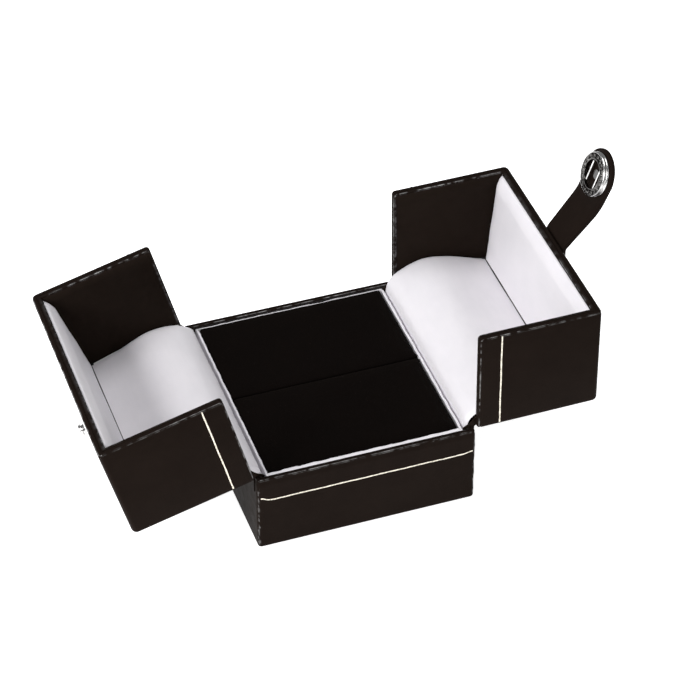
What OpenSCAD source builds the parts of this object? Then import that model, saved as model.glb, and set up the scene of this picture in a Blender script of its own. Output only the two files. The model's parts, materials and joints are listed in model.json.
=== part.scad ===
// Double-door ring box with spine hinges, satin humps, a slit ring pad and a snap tab.
// Origin: centre of the underside. +X to the right, -Y is the front, +Z up.

/* [Base] */
// Width of the base, hinge side to hinge side
base_w = 60.4; // [50:0.1:80]
// Depth of the base, front to back
base_d = 67; // [56:0.1:90]
// Height of the base up to its rim
base_h = 23.6; // [20:0.1:32]
// Radius of the base's upright corners
base_corner_r = 1; // [0.8:0.1:3]

/* [Walls] */
// Thickness of the moulded shells
shell_t = 1.5; // [1.2:0.1:2]
// Thickness of the leatherette
wrap_t = 0.4; // [0.3:0.05:0.6]
// Thickness of the leatherette facings inside the doors
facing_t = 0.6; // [0.4:0.05:0.9]

/* [Doors] */
// Depth of the doors, front to back
door_d = 67.6; // [56.6:0.1:90.6]
// Height of the doors above the hinge
door_h = 33.9; // [30:0.1:40]
// Radius of the doors' outer edges
door_edge_r = 1.5; // [1:0.1:3]
// Opening angle of the left door
left_open = 105; // [0:1:115]
// Opening angle of the right door
right_open = 89.5; // [0:0.5:115]
// Distance from the base's top edge to the hinge axis, outwards and upwards
hinge_gap = 0.45; // [0.4:0.05:0.7]
// Gap between the closed doors
seam_gap = 0.3; // [0.2:0.1:1]

/* [Gold lines] */
// Width of the foil line
line_w = 0.7; // [0.4:0.1:1.5]
// Distance of the base's foil line below its rim
base_line_inset = 7.1; // [3:0.1:10]
// Distance of a door's foil line from the rim that meets the base
door_line_inset = 5.9; // [3:0.1:10]

/* [Satin] */
// Rise of the left hump above its wall
left_hump_rise = 2.6; // [1.8:0.1:6]
// Rise of the right hump above its wall
right_hump_rise = 5.2; // [1.8:0.1:6]
// Length of the hump along the side wall
hump_l = 25.4; // [20:0.1:26]

/* [Ring pad] */
// Width of the pad
pad_w = 52.8; // [42:0.1:72]
// Depth of both pads together
pad_d = 61.2; // [50:0.1:84]
// Thickness of the pads
pad_t = 8; // [5:0.5:10]
// Width of the ring slit
slit_w = 0.4; // [0.3:0.1:1]

/* [Tab] */
// Thickness of the strap
strap_t = 1.4; // [1.2:0.1:2]
// Width of the strap where it leaves the door
strap_w = 11; // [9:0.5:13]
// Width of the strap where its round end begins
strap_wide_w = 12.4; // [11:0.1:13.5]
// Radius of the strap's round end
tab_end_r = 7; // [6.5:0.1:8]
// Length of the fixed stretch on the door
anchor_l = 14; // [8:1:22]
// Length of the bending neck
neck_l = 14.2; // [12:0.1:16]
// Length from the neck to the middle of the snap
end_l = 7.6; // [7:0.1:9]
// Lift of the neck away from the door's top, as it stands
neck_lift = 39.5; // [11.5:0.5:99]
// Lift of the round end away from the door's top, as it stands
end_lift = 19.5; // [0:0.5:59]
// Lift of the neck when the snap is closed
snapped_lift = 11.5; // [11:0.5:13]

/* [Snap] */
// Radius of the socket's flange
socket_r = 6.1; // [5.8:0.1:6.3]
// Height of the socket
socket_h = 2; // [1.8:0.1:2.1]
// Radius of the socket's hollow
socket_hollow_r = 3.9; // [3.4:0.1:4.2]
// Radius of the stud's head
stud_head_r = 1.85; // [1.6:0.05:1.9]
// Number of beads round the socket's face
bead_count = 18; // [12:1:24]

/* [Hidden] */
$fn = 64;
leatherette = [0.16, 0.13, 0.12];
leatherette_inside = [0.2, 0.17, 0.16];
gold = [0.86, 0.8, 0.66];
satin = [0.93, 0.92, 0.95];
velvet = [0.05, 0.03, 0.02];
card = [0.62, 0.58, 0.52];
steel = [0.75, 0.76, 0.78];

eps = 0.01;
long = 200;
wall_t = shell_t + wrap_t;
axis_x = base_w / 2 + hinge_gap;
axis_z = base_h + hinge_gap;
door_w = axis_x - seam_gap / 2;

// Base levels
underlay_margin = 4;
floor_t = 1.8;
floor_top = wrap_t + floor_t;
pad_top = base_h;
pad_bottom = pad_top - pad_t;
card_t = 0.6;
riser_top = pad_bottom - card_t;
lining_h = 10;
lining_drop = 0.25;
end_lining_t = 0.85;
side_lining_t = 0.6;
lining_gap = 0.1;
pad_edge_r = 1.1;
pad_corner_r = 1.2;
foil_t = 0.06;

// Spine hinge: a leatherette bead on the base, and a leaf that wraps it on the door
bead_r = 0.4;
leaf_t = 0.3;
spine_clear = 0.05;
leaf_h = 5;
spine_l = base_d - 2 * 2.2;
rim_leaf_w = 1.5;
web_half_w = 0.28;
hook_end = 150;
gusset_t = 0.5;
gusset_h = 4;
gusset_foot_w = 0.95;
gusset_tip_w = 0.5;

// Satin hump
hump_y = door_d / 2 - wall_t - facing_t - 0.15;
hump_foot = 0.6;
hump_foot_share = 0.3;
hump_crown_share = 0.8;
hump_skew = 0.65;
hump_steps = 20;
hump_skin_t = 0.6;
wadding_drop = 1.2;
spring_t = 0.3;
spring_w = 24;
spring_share = 0.4;
hem_t = 0.8;
hem_h = 9;
hem_clear = 0.25;
hem_y = hump_y - 1.5;

// Tab and snap
strap_h = strap_t / 2 - 0.05;
neck_clear_r = strap_h + 0.1;
anchor_clear_r = strap_h + 0.45;
tab_axis_u = door_w - strap_t / 2;
tab_axis_v = door_h + strap_t / 2;
snap_rise = neck_l * sin(snapped_lift);
snap_reach = neck_l * cos(snapped_lift) + end_l;
stud_u = 2 * axis_x - tab_axis_u - snap_reach;
stud_flange_r = 5;
stud_flange_t = 0.7;
stud_top = strap_t / 2 + snap_rise - strap_h - 0.6;
post_r = 1.3;
post_hole_r = 1.4;
rivet_r = 4;
rivet_t = 0.5;
rivet_clear = 0.3;
wire_r = 0.25;
wire_y = stud_head_r + 0.1 + wire_r;

// Placing

module mirror_copy(axis = [0, 1, 0]) {
  children();
  mirror(axis) children();
}

// Door frame: X runs from the hinge to the seam, Z away from the base's rim, for both doors
module place_left(open = left_open) {
  translate([-axis_x, 0, axis_z])
    rotate([0, -open, 0])
      children();
}

module place_right(open = right_open) {
  translate([axis_x, 0, axis_z])
    rotate([0, open, 0])
      mirror([1, 0, 0])
        children();
}

// Neck frame: X runs along the strap from the door's edge, Z outwards
module place_neck() {
  place_right()
    translate([tab_axis_u, 0, tab_axis_v])
      rotate([0, -neck_lift, 0])
        children();
}

// End frame: X runs along the strap from the neck to its tip, Z outwards
module place_end() {
  place_neck()
    translate([neck_l, 0, 0])
      rotate([0, neck_lift - end_lift, 0])
        children();
}

// Shared shapes

module rounded_rect(x0, x1, y0, y1, r) {
  translate([x0 + r, y0])
    square([x1 - x0 - 2 * r, y1 - y0]);
  translate([x0, y0 + r])
    square([x1 - x0, y1 - y0 - 2 * r]);
  for (x = [x0 + r, x1 - r], y = [y0 + r, y1 - r]) {
    translate([x, y])
      circle(r);
  }
}

// Extrudes a profile drawn in X and Z along Y, centred
module along_y(length) {
  rotate([90, 0, 0])
    linear_extrude(length, center = true)
      children();
}

module centred_box(x, y, z0, z1) {
  translate([-x / 2, -y / 2, z0])
    cube([x, y, z1 - z0]);
}

module axis_rod(r, length) {
  rotate([90, 0, 0])
    cylinder(r = r, h = length, center = true);
}

// Base

module base_block(inset, z0, z1) {
  translate([0, 0, z0])
    linear_extrude(z1 - z0)
      rounded_rect(-base_w / 2 + inset, base_w / 2 - inset, -base_d / 2 + inset, base_d / 2 - inset,
                   base_corner_r - inset);
}

module base_cavity(z0) {
  centred_box(base_w - 2 * wall_t, base_d - 2 * wall_t, z0, base_h + 1);
}

// The strips of wrap that the spines' lower leaves take the place of
module base_leaf_slots() {
  mirror_copy([1, 0, 0])
    translate([base_w / 2 - wrap_t, -spine_l / 2 - spine_clear, base_h - leaf_h - spine_clear])
      cube([1, spine_l + 2 * spine_clear, leaf_h + 1]);
}

module base_shell() color(card) {
  difference() {
    base_block(wrap_t, wrap_t, base_h - wrap_t);
    base_cavity(floor_top);
  }
}

module base_wrap() color(leatherette) {
  difference() {
    base_block(0, 0, base_h);
    base_block(wrap_t, wrap_t, base_h - wrap_t);
    base_cavity(base_h - 1);
    centred_box(base_w - 2 * underlay_margin, base_d - 2 * underlay_margin, -1, 1);
    base_leaf_slots();
  }
}

module base_underlay() color(leatherette_inside) {
  centred_box(base_w - 2 * underlay_margin - 0.1, base_d - 2 * underlay_margin - 0.1, 0, wrap_t);
}

module base_gold_line() color(gold) {
  mirror_copy()
    translate([-base_w / 2 + base_corner_r, -base_d / 2 - foil_t, base_h - base_line_inset - line_w / 2])
      cube([base_w - 2 * base_corner_r, foil_t, line_w]);
}

// Satin-covered frame of card that stands round the pad
module base_lining() color(satin) {
  top = base_h - lining_drop;
  inner_w = pad_w + 2 * lining_gap;
  difference() {
    centred_box(inner_w + 2 * side_lining_t, base_d - 2 * wall_t, top - lining_h, top);
    centred_box(inner_w, base_d - 2 * (wall_t + end_lining_t), top - lining_h - 1, base_h);
  }
}

// Ring pad and what holds it up

module foam_riser() color(satin) {
  centred_box(pad_w - 2, pad_d - 2, floor_top, riser_top);
}

module pad_card() color(card) {
  centred_box(pad_w - 0.6, pad_d - 0.6, riser_top, pad_bottom);
}

// One half pad: its outline as seen from above, with the top edges rounded off
module half_pad() {
  near = slit_w / 2;
  far = pad_d / 2;
  side = pad_w / 2;
  intersection() {
    translate([0, 0, pad_bottom])
      linear_extrude(pad_t)
        difference() {
          rounded_rect(-side, side, -far, far, pad_corner_r);
          translate([-long / 2, near - long])
            square([long, long]);
        }
    along_y(long)
      rounded_rect(-side, side, pad_bottom - 2 * pad_edge_r, pad_top, pad_edge_r);
    rotate([0, 0, 90])
      along_y(long)
        rounded_rect(-far, far, pad_bottom - 2 * pad_edge_r, pad_top, pad_edge_r);
  }
}

module back_pad() color(velvet) {
  half_pad();
}

module front_pad() color(velvet) {
  mirror([0, 1, 0])
    half_pad();
}

// Spine hinge

// Lower leaf, drawn at the right hinge: down the wall, over the rim, and up to the bead
module spine_lower() {
  along_y(spine_l) {
    translate([base_w / 2 - wrap_t, base_h - leaf_h])
      square([wrap_t, leaf_h + eps]);
    translate([base_w / 2 - rim_leaf_w, base_h])
      square([rim_leaf_w, leaf_t]);
    translate([axis_x, axis_z])
      circle(bead_r);
    translate([axis_x, axis_z])
      rotate(225)
        translate([0, -web_half_w])
          square([hinge_gap * 1.8, 2 * web_half_w]);
  }
}

// Upper leaf, in the door's frame: round the outside of the bead, then up the side wall
module spine_upper() {
  hook_r = bead_r + spine_clear;
  along_y(spine_l) {
    translate([0, hook_r])
      square([wrap_t, leaf_h - hook_r]);
    difference() {
      circle(hook_r + leaf_t);
      circle(hook_r);
      translate([0, -long / 2])
        square([long, long]);
      translate([-long / 2, -long])
        square([long, long]);
      rotate(hook_end)
        square([long, long]);
    }
    translate([-leaf_t, hook_r])
      square([leaf_t + eps, leaf_t]);
  }
}

// Folded leatherette in the two inside corners of one hinge, drawn at the right
module gussets() {
  outer_x = base_w / 2 - wall_t - 0.1;
  mirror_copy()
    translate([0, -base_d / 2 + wall_t + gusset_t, 0])
      along_y(gusset_t)
        polygon([
          [outer_x - gusset_foot_w, base_h - gusset_h],
          [outer_x, base_h - gusset_h],
          [outer_x, base_h + 1],
          [outer_x - gusset_tip_w, base_h + 1]
        ]);
}

// The hump's lower edge, tucked down between the pad and the side lining
module hump_hem() {
  outer_x = base_w / 2 - wall_t - 0.1;
  translate([outer_x - hem_t, -hem_y, base_h - hem_h])
    cube([hem_t, 2 * hem_y, hem_h - hem_clear]);
}

module left_spine_lower() color(leatherette) {
  mirror([1, 0, 0])
    spine_lower();
}

module right_spine_lower() color(leatherette) {
  spine_lower();
}

module left_spine_upper() color(leatherette) {
  place_left()
    spine_upper();
}

module right_spine_upper() color(leatherette) {
  place_right()
    spine_upper();
}

module left_gussets() color(leatherette_inside) {
  mirror([1, 0, 0])
    gussets();
}

module right_gussets() color(leatherette_inside) {
  gussets();
}

module left_hump_hem() color(satin) {
  mirror([1, 0, 0])
    hump_hem();
}

module right_hump_hem() color(satin) {
  hump_hem();
}

// Doors, in the door's frame

// The door's outer form, moved in by inset, running on past its two open sides
module door_form(inset) {
  side = door_d / 2 - inset;
  r = door_edge_r - inset;
  intersection() {
    translate([0, 0, -long / 2])
      linear_extrude(long)
        rounded_rect(inset, long, -side, side, r);
    along_y(long)
      rounded_rect(inset, long, -long / 2, door_h - inset, r);
    rotate([0, 0, 90])
      along_y(long)
        rounded_rect(-side, side, -long / 2, door_h - inset, r);
  }
}

module door_cavity() {
  side = door_d / 2 - wall_t;
  translate([wall_t, -side, -long / 2])
    cube([long, 2 * side, long / 2 + door_h - wall_t]);
}

// Limits of the door at its two rims, moved in by inset
module door_limits(inset) {
  translate([-1, -door_d, inset])
    cube([door_w + 1 - inset, 2 * door_d, long]);
}

module shell_solid() {
  difference() {
    intersection() {
      door_form(wrap_t);
      door_limits(wrap_t);
    }
    door_cavity();
  }
}

module door_shell(with_stud = false) {
  difference() {
    shell_solid();
    if (with_stud) post_hole();
  }
}

module door_wrap(with_stud = false) {
  difference() {
    intersection() {
      door_form(0);
      door_limits(0);
    }
    door_cavity();
    shell_solid();
    translate([-1, -spine_l / 2 - spine_clear, -1])
      cube([1 + wrap_t + eps, spine_l + 2 * spine_clear, 1 + leaf_h + spine_clear]);
    axis_rod(bead_r + spine_clear, long);
    if (with_stud) post_hole();
  }
}

module door_gold_line() {
  mirror_copy()
    translate([door_edge_r, -door_d / 2 - foil_t, door_line_inset - line_w / 2])
      cube([door_w - door_edge_r - 0.3, foil_t, line_w]);
}

module front_facing() {
  translate([wall_t + eps, -door_d / 2 + wall_t, wrap_t])
    cube([door_w - wall_t - 0.5, facing_t, door_h - wall_t - wrap_t - eps]);
}

module top_card() {
  translate([wall_t + 0.3, -hump_y, door_h - wall_t - card_t])
    cube([door_w - wall_t - 1, 2 * hump_y, card_t]);
}

// Wedge of wadding and satin: thin at the seam, thick in the corner over the hump
module top_satin(hole = false) {
  under_card = door_h - wall_t - card_t;
  near = wall_t + 0.3;
  far = door_w - 0.8;
  difference() {
    along_y(2 * hump_y)
      polygon([
        [near, under_card],
        [near, under_card - 4.6],
        [near + 8, under_card - 3.9],
        [near + 16, under_card - 2.9],
        [far - 3, under_card - 2.1],
        [far - 0.7, under_card - 1.2],
        [far, under_card]
      ]);
    if (hole)
      translate([stud_u, 0, under_card - 1])
        cylinder(r = rivet_r + rivet_clear, h = 2);
  }
}

// Height of the hump over the side wall at v, for a given rise
function hump_u(v, rise) =
  let (s = (v - hump_foot) / hump_l)
    wall_t + rise * (hump_foot_share * (1 - s) + hump_crown_share * sin(180 * pow(s, hump_skew)));

module hump_profile(rise) {
  polygon(concat(
    [[wall_t, hump_foot + hump_l], [wall_t, hump_foot]],
    [for (i = [0:hump_steps]) let (v = hump_foot + hump_l * i / hump_steps) [hump_u(v, rise), v]]
  ));
}

module hump_satin(rise) {
  along_y(2 * hump_y)
    difference() {
      hump_profile(rise);
      hump_profile(rise - hump_skin_t);
    }
}

module hump_wadding(rise) {
  difference() {
    along_y(2 * hump_y)
      hump_profile(rise - wadding_drop);
    along_y(spring_w + 0.6)
      hump_profile((rise - wadding_drop) * spring_share);
  }
}

module hump_spring(rise) {
  along_y(spring_w)
    difference() {
      hump_profile((rise - wadding_drop) * spring_share);
      hump_profile((rise - wadding_drop) * spring_share - spring_t);
    }
}

module post_hole() {
  translate([stud_u, 0, door_h - 3])
    cylinder(r = post_hole_r, h = 4);
}

module left_door_shell() color(card) {
  place_left()
    door_shell(with_stud = true);
}

module right_door_shell() color(card) {
  place_right()
    door_shell();
}

module left_door_wrap() color(leatherette) {
  place_left()
    door_wrap(with_stud = true);
}

module right_door_wrap() color(leatherette) {
  place_right()
    door_wrap();
}

module left_gold_line() color(gold) {
  place_left()
    door_gold_line();
}

module right_gold_line() color(gold) {
  place_right()
    door_gold_line();
}

module left_front_facing() color(leatherette_inside) {
  place_left()
    front_facing();
}

module left_back_facing() color(leatherette_inside) {
  place_left()
    mirror([0, 1, 0])
      front_facing();
}

module right_front_facing() color(leatherette_inside) {
  place_right()
    front_facing();
}

module right_back_facing() color(leatherette_inside) {
  place_right()
    mirror([0, 1, 0])
      front_facing();
}

module left_top_card() color(card) {
  place_left()
    difference() {
      top_card();
      translate([stud_u, 0, door_h - 4])
        cylinder(r = rivet_r + rivet_clear, h = 4);
    }
}

module right_top_card() color(card) {
  place_right()
    top_card();
}

module left_top_satin() color(satin) {
  place_left()
    top_satin(hole = true);
}

module right_top_satin() color(satin) {
  place_right()
    top_satin();
}

module left_hump_satin() color(satin) {
  place_left()
    hump_satin(left_hump_rise);
}

module right_hump_satin() color(satin) {
  place_right()
    hump_satin(right_hump_rise);
}

module left_hump_wadding() color(satin) {
  place_left()
    hump_wadding(left_hump_rise);
}

module right_hump_wadding() color(satin) {
  place_right()
    hump_wadding(right_hump_rise);
}

module left_hump_spring() color(steel) {
  place_left()
    hump_spring(left_hump_rise);
}

module right_hump_spring() color(steel) {
  place_right()
    hump_spring(right_hump_rise);
}

// Snap stud: flange and headed post outside the left door, riveted from inside

module snap_stud() color(steel) {
  place_left()
    translate([stud_u, 0, door_h])
      rotate_extrude()
        polygon([
          [0.7, 0],
          [stud_flange_r, 0],
          [stud_flange_r, stud_flange_t * 0.4],
          [stud_flange_r - 1, stud_flange_t],
          [stud_head_r - 0.4, stud_flange_t],
          [stud_head_r - 0.5, stud_top - 0.9],
          [stud_head_r, stud_top - 0.6],
          [stud_head_r - 0.3, stud_top],
          [0.7, stud_top]
        ]);
}

module stud_post() color(steel) {
  place_left()
    translate([stud_u, 0, door_h])
      rotate_extrude()
        polygon([
          [0, stud_top - 0.2],
          [0.65, stud_top - 0.2],
          [0.65, -eps],
          [post_r, -eps],
          [post_r, -wall_t],
          [rivet_r, -wall_t],
          [rivet_r, -wall_t - rivet_t],
          [0, -wall_t - rivet_t]
        ]);
}

// Tab

module tab_anchor() color(leatherette) {
  place_right()
    difference() {
      translate([tab_axis_u - anchor_l, -strap_w / 2, door_h])
        cube([anchor_l, strap_w, strap_t]);
      translate([tab_axis_u, 0, tab_axis_v])
        axis_rod(anchor_clear_r, long);
    }
}

module tab_neck() color(leatherette) {
  place_neck() {
    difference() {
      translate([0, 0, -strap_h])
        linear_extrude(2 * strap_h)
          polygon([
            [0, -strap_w / 2],
            [neck_l, -strap_wide_w / 2],
            [neck_l, strap_wide_w / 2],
            [0, strap_w / 2]
          ]);
      translate([neck_l, 0, 0])
        axis_rod(neck_clear_r, long);
    }
    axis_rod(strap_h, strap_w);
  }
}

module tab_end() color(leatherette) {
  place_end() {
    difference() {
      translate([0, 0, -strap_h])
        linear_extrude(2 * strap_h) {
          translate([end_l, 0])
            circle(tab_end_r);
          polygon([
            [0, -strap_wide_w / 2],
            [end_l, -tab_end_r],
            [end_l, tab_end_r],
            [0, strap_wide_w / 2]
          ]);
        }
      translate([end_l, 0, 0])
        cylinder(r = post_hole_r, h = 3, center = true);
      translate([-tab_end_r, -long / 2, -1])
        cube([tab_end_r, long, 2]);
    }
    axis_rod(strap_h, strap_wide_w);
  }
}

// Socket: flange against the strap, waist, and a beaded ring round the hollow
module snap_socket() color(steel) {
  bead_ring_r = (socket_r + socket_hollow_r) / 2;
  place_end()
    translate([end_l, 0, -strap_h])
      mirror([0, 0, 1]) {
        rotate_extrude()
          polygon([
            [post_r + 0.05, 0],
            [socket_r, 0],
            [socket_r, 0.6],
            [socket_r - 0.5, 0.8],
            [socket_r - 0.5, 1],
            [socket_r - 0.1, 1.2],
            [socket_r - 0.1, socket_h - 0.5],
            [socket_r - 0.5, socket_h - 0.2],
            [socket_hollow_r + 0.4, socket_h - 0.2],
            [socket_hollow_r, socket_h - 0.5],
            [socket_hollow_r, 0.4],
            [post_r + 0.05, 0.4]
          ]);
        for (i = [0:bead_count - 1]) {
          rotate([0, 0, 360 * i / bead_count])
            translate([bead_ring_r, 0, socket_h - 0.3])
              cylinder(r = 0.5, h = 0.3);
        }
      }
}

module socket_springs() color(steel) {
  reach = sqrt(pow(socket_hollow_r, 2) - pow(wire_y + wire_r, 2)) - 0.05;
  place_end()
    mirror_copy()
      translate([end_l - reach, wire_y, -strap_h - 1.1])
        rotate([0, 90, 0])
          cylinder(r = wire_r, h = 2 * reach);
}

// Cap: low dome outside, with a barrel through the strap that holds the socket
module snap_cap() color(leatherette_inside) {
  cap_r = 5.6;
  place_end()
    translate([end_l, 0, 0])
      rotate_extrude()
        polygon([
          [0, strap_h + 0.9],
          [2.2, strap_h + 0.85],
          [cap_r - 0.9, strap_h + 0.55],
          [cap_r, strap_h],
          [post_r, strap_h],
          [post_r, -strap_h - 0.4],
          [0, -strap_h - 0.4]
        ]);
}

base_shell();
base_wrap();
base_underlay();
base_gold_line();
base_lining();
foam_riser();
pad_card();
front_pad();
back_pad();
left_spine_lower();
left_spine_upper();
left_gussets();
left_hump_hem();
right_spine_lower();
right_spine_upper();
right_gussets();
right_hump_hem();
left_door_shell();
left_door_wrap();
left_gold_line();
left_front_facing();
left_back_facing();
left_top_card();
left_top_satin();
left_hump_satin();
left_hump_wadding();
left_hump_spring();
right_door_shell();
right_door_wrap();
right_gold_line();
right_front_facing();
right_back_facing();
right_top_card();
right_top_satin();
right_hump_satin();
right_hump_wadding();
right_hump_spring();
snap_stud();
stud_post();
tab_anchor();
tab_neck();
tab_end();
snap_socket();
socket_springs();
snap_cap();
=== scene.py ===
"""Double-door ring box: leatherette case, satin humps, slit velvet pad and a snap tab."""

from __future__ import annotations

import json
import logging
import math
from contextlib import contextmanager
from dataclasses import dataclass, field
from enum import Enum
from typing import Any, Callable, Iterator, Sequence

import bmesh
import bpy
import numpy as np
from mathutils import Matrix, Vector, noise


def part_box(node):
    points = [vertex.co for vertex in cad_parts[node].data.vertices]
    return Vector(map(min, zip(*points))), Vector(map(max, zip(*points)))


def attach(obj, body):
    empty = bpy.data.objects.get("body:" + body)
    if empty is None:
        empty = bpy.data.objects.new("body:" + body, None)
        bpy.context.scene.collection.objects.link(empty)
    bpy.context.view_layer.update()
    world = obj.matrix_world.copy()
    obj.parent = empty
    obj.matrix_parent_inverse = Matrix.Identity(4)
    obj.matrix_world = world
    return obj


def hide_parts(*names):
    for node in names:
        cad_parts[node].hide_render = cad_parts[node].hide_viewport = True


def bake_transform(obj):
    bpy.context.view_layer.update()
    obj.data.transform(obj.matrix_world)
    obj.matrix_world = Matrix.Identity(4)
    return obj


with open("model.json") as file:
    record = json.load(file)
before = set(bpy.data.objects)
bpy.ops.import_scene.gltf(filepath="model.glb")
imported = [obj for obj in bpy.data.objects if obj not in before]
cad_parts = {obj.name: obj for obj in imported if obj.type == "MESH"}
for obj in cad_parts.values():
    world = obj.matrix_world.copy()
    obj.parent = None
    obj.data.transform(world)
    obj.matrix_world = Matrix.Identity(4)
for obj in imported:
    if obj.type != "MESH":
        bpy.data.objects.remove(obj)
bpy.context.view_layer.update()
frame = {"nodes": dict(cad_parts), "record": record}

MM = 0.001
FOIL_THICK = 0.05 * MM
FOIL_CLEAR = 0.01 * MM
POLISH = "polish"
log = logging.getLogger("ring_box")

Piece = bpy.types.Object
Point = tuple[float, float, float]


class Side(Enum):
    """Which door a part belongs to."""

    LEFT = "left"
    RIGHT = "right"

    @property
    def sign(self) -> int:
        """-1 on the left and 1 on the right."""
        return 1 if self is Side.RIGHT else -1


class Element(Enum):
    """What an edit-mode selection holds."""

    VERT = "verts"
    EDGE = "edges"
    FACE = "faces"


# Shader writing


class Wire:
    """One shader value that can be used in an expression; each operator adds a Math node."""

    def __init__(self, tree: ShaderTree, socket: bpy.types.NodeSocket) -> None:
        """Wraps a socket of a tree."""
        self.tree = tree
        self.socket = socket

    def _math(self, operation: str, first: Any, second: Any) -> Wire:
        """Adds a Math node with two operands, each a Wire or a number."""
        return self.tree.add("ShaderNodeMath", {"operation": operation}, {0: first, 1: second})

    def __add__(self, other: Any) -> Wire:
        """Sum."""
        return self._math("ADD", self, other)

    __radd__ = __add__

    def __sub__(self, other: Any) -> Wire:
        """Difference."""
        return self._math("SUBTRACT", self, other)

    def __rsub__(self, other: Any) -> Wire:
        """Reflected difference."""
        return self._math("SUBTRACT", other, self)

    def __mul__(self, other: Any) -> Wire:
        """Product."""
        return self._math("MULTIPLY", self, other)

    __rmul__ = __mul__

    def clamp(self) -> Wire:
        """The value held between 0 and 1."""
        return self.tree.add("ShaderNodeClamp", {}, {0: self})


class ShaderTree:
    """A material's node tree with one Principled shader, written from code."""

    def __init__(self, name: str) -> None:
        """Starts an empty material of that name."""
        self.material = bpy.data.materials.new(name)
        self.material.use_nodes = True
        self.nodes = self.material.node_tree.nodes
        self.links = self.material.node_tree.links
        self.nodes.clear()
        self.shader = self.nodes.new("ShaderNodeBsdfPrincipled")
        output = self.nodes.new("ShaderNodeOutputMaterial")
        self.links.new(self.shader.outputs[0], output.inputs[0])

    def add(self, kind: str, settings: dict[str, Any], inputs: dict[Any, Any],
            output: Any = 0) -> Wire:
        """Adds any node.

        Args:
            kind: The node's type name.
            settings: Attributes of the node, set first.
            inputs: Values or Wires by socket name or number.
            output: The socket that is returned, by name or number.

        Returns:
            The chosen output.
        """
        node = self.nodes.new(kind)
        for key, value in settings.items():
            setattr(node, key, value)
        for key, value in inputs.items():
            self.join(node.inputs[key], value)
        return Wire(self, node.outputs[output])

    def join(self, socket: bpy.types.NodeSocket, value: Any) -> None:
        """Links a Wire to a socket, or sets a plain value."""
        if isinstance(value, Wire):
            self.links.new(value.socket, socket)
        else:
            socket.default_value = value

    def set(self, **values: Any) -> None:
        """Sets the shader's own sockets; an underscore stands for a space."""
        for key, value in values.items():
            self.join(self.shader.inputs[key.replace("_", " ")], value)

    def place(self, stretch: Point = (1, 1, 1)) -> Wire:
        """Object coordinates, stretched along each axis."""
        spot = self.add("ShaderNodeTexCoord", {}, {}, "Object")
        return self.add("ShaderNodeMapping", {}, {"Vector": spot, "Scale": stretch})

    def noise(self, spot: Wire, grain: float, detail: float = 3, rough: float = 0.5) -> Wire:
        """Fractal noise whose features are about grain metres across."""
        return self.add("ShaderNodeTexNoise", {}, {
            "Vector": spot, "Scale": 1 / grain, "Detail": detail, "Roughness": rough})

    def cells(self, spot: Wire, grain: float, feature: str = "F1") -> Wire:
        """Distance inside round cells about grain metres across."""
        return self.add("ShaderNodeTexVoronoi", {"feature": feature}, {
            "Vector": spot, "Scale": 1 / grain})

    def tint(self, share: Wire, first: Sequence[float], second: Sequence[float]) -> Wire:
        """A colour between two, by share."""
        return self.add("ShaderNodeMix", {"data_type": "RGBA"}, {
            0: share, 6: (*first, 1), 7: (*second, 1)}, 2)

    def bump(self, height: Wire, depth: float, strength: float) -> Wire:
        """A bumped normal; depth is in metres for a height of 1."""
        return self.add("ShaderNodeBump", {}, {
            "Height": height, "Distance": depth, "Strength": strength})


@dataclass(frozen=True)
class Leatherette:
    """Paper-backed leatherette with a fine pebble grain."""

    name: str = "leatherette"
    dark: Point = (0.0076, 0.0051, 0.0041)
    light: Point = (0.0150, 0.0102, 0.0081)
    grain: float = 0.42 * MM
    depth: float = 0.035 * MM
    roughness: float = 0.44
    specular: float = 0.012

    def material(self) -> bpy.types.Material:
        """Builds the finish."""
        tree = ShaderTree(self.name)
        spot = tree.place()
        pebbles = tree.cells(spot, self.grain, "SMOOTH_F1")
        fine = tree.noise(spot, self.grain * 0.4, 2)
        slow = tree.noise(spot, 9 * MM, 2)
        patch = tree.noise(spot, 2.5 * MM, 3)
        height = pebbles * 0.7 + fine * 0.3
        board = tree.bump(slow, 0.5 * MM, 0.25)
        skin = tree.add("ShaderNodeBump", {}, {
            "Height": height, "Distance": self.depth, "Strength": 0.7, "Normal": board})
        share = (slow * 0.5 + patch * 0.35 + fine * 0.3 - 0.1).clamp()
        glints = tree.noise(spot, 1.9 * MM, 3)
        polish = tree.add("ShaderNodeAttribute", {"attribute_name": POLISH}, {}, "Fac")
        tree.set(Base_Color=tree.tint(share, self.dark, self.light),
                 Roughness=self.roughness + (patch - 0.5) * 0.18 + (fine - 0.5) * 0.12,
                 Normal=skin, Specular_IOR_Level=self.specular,
                 Coat_Weight=(polish * (0.24 + (glints - 0.47) * 4).clamp()).clamp(),
                 Coat_Roughness=0.14, Coat_IOR=2.1,
                 Specular_Tint=(1, 0.86, 0.77, 1))
        return tree.material


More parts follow.
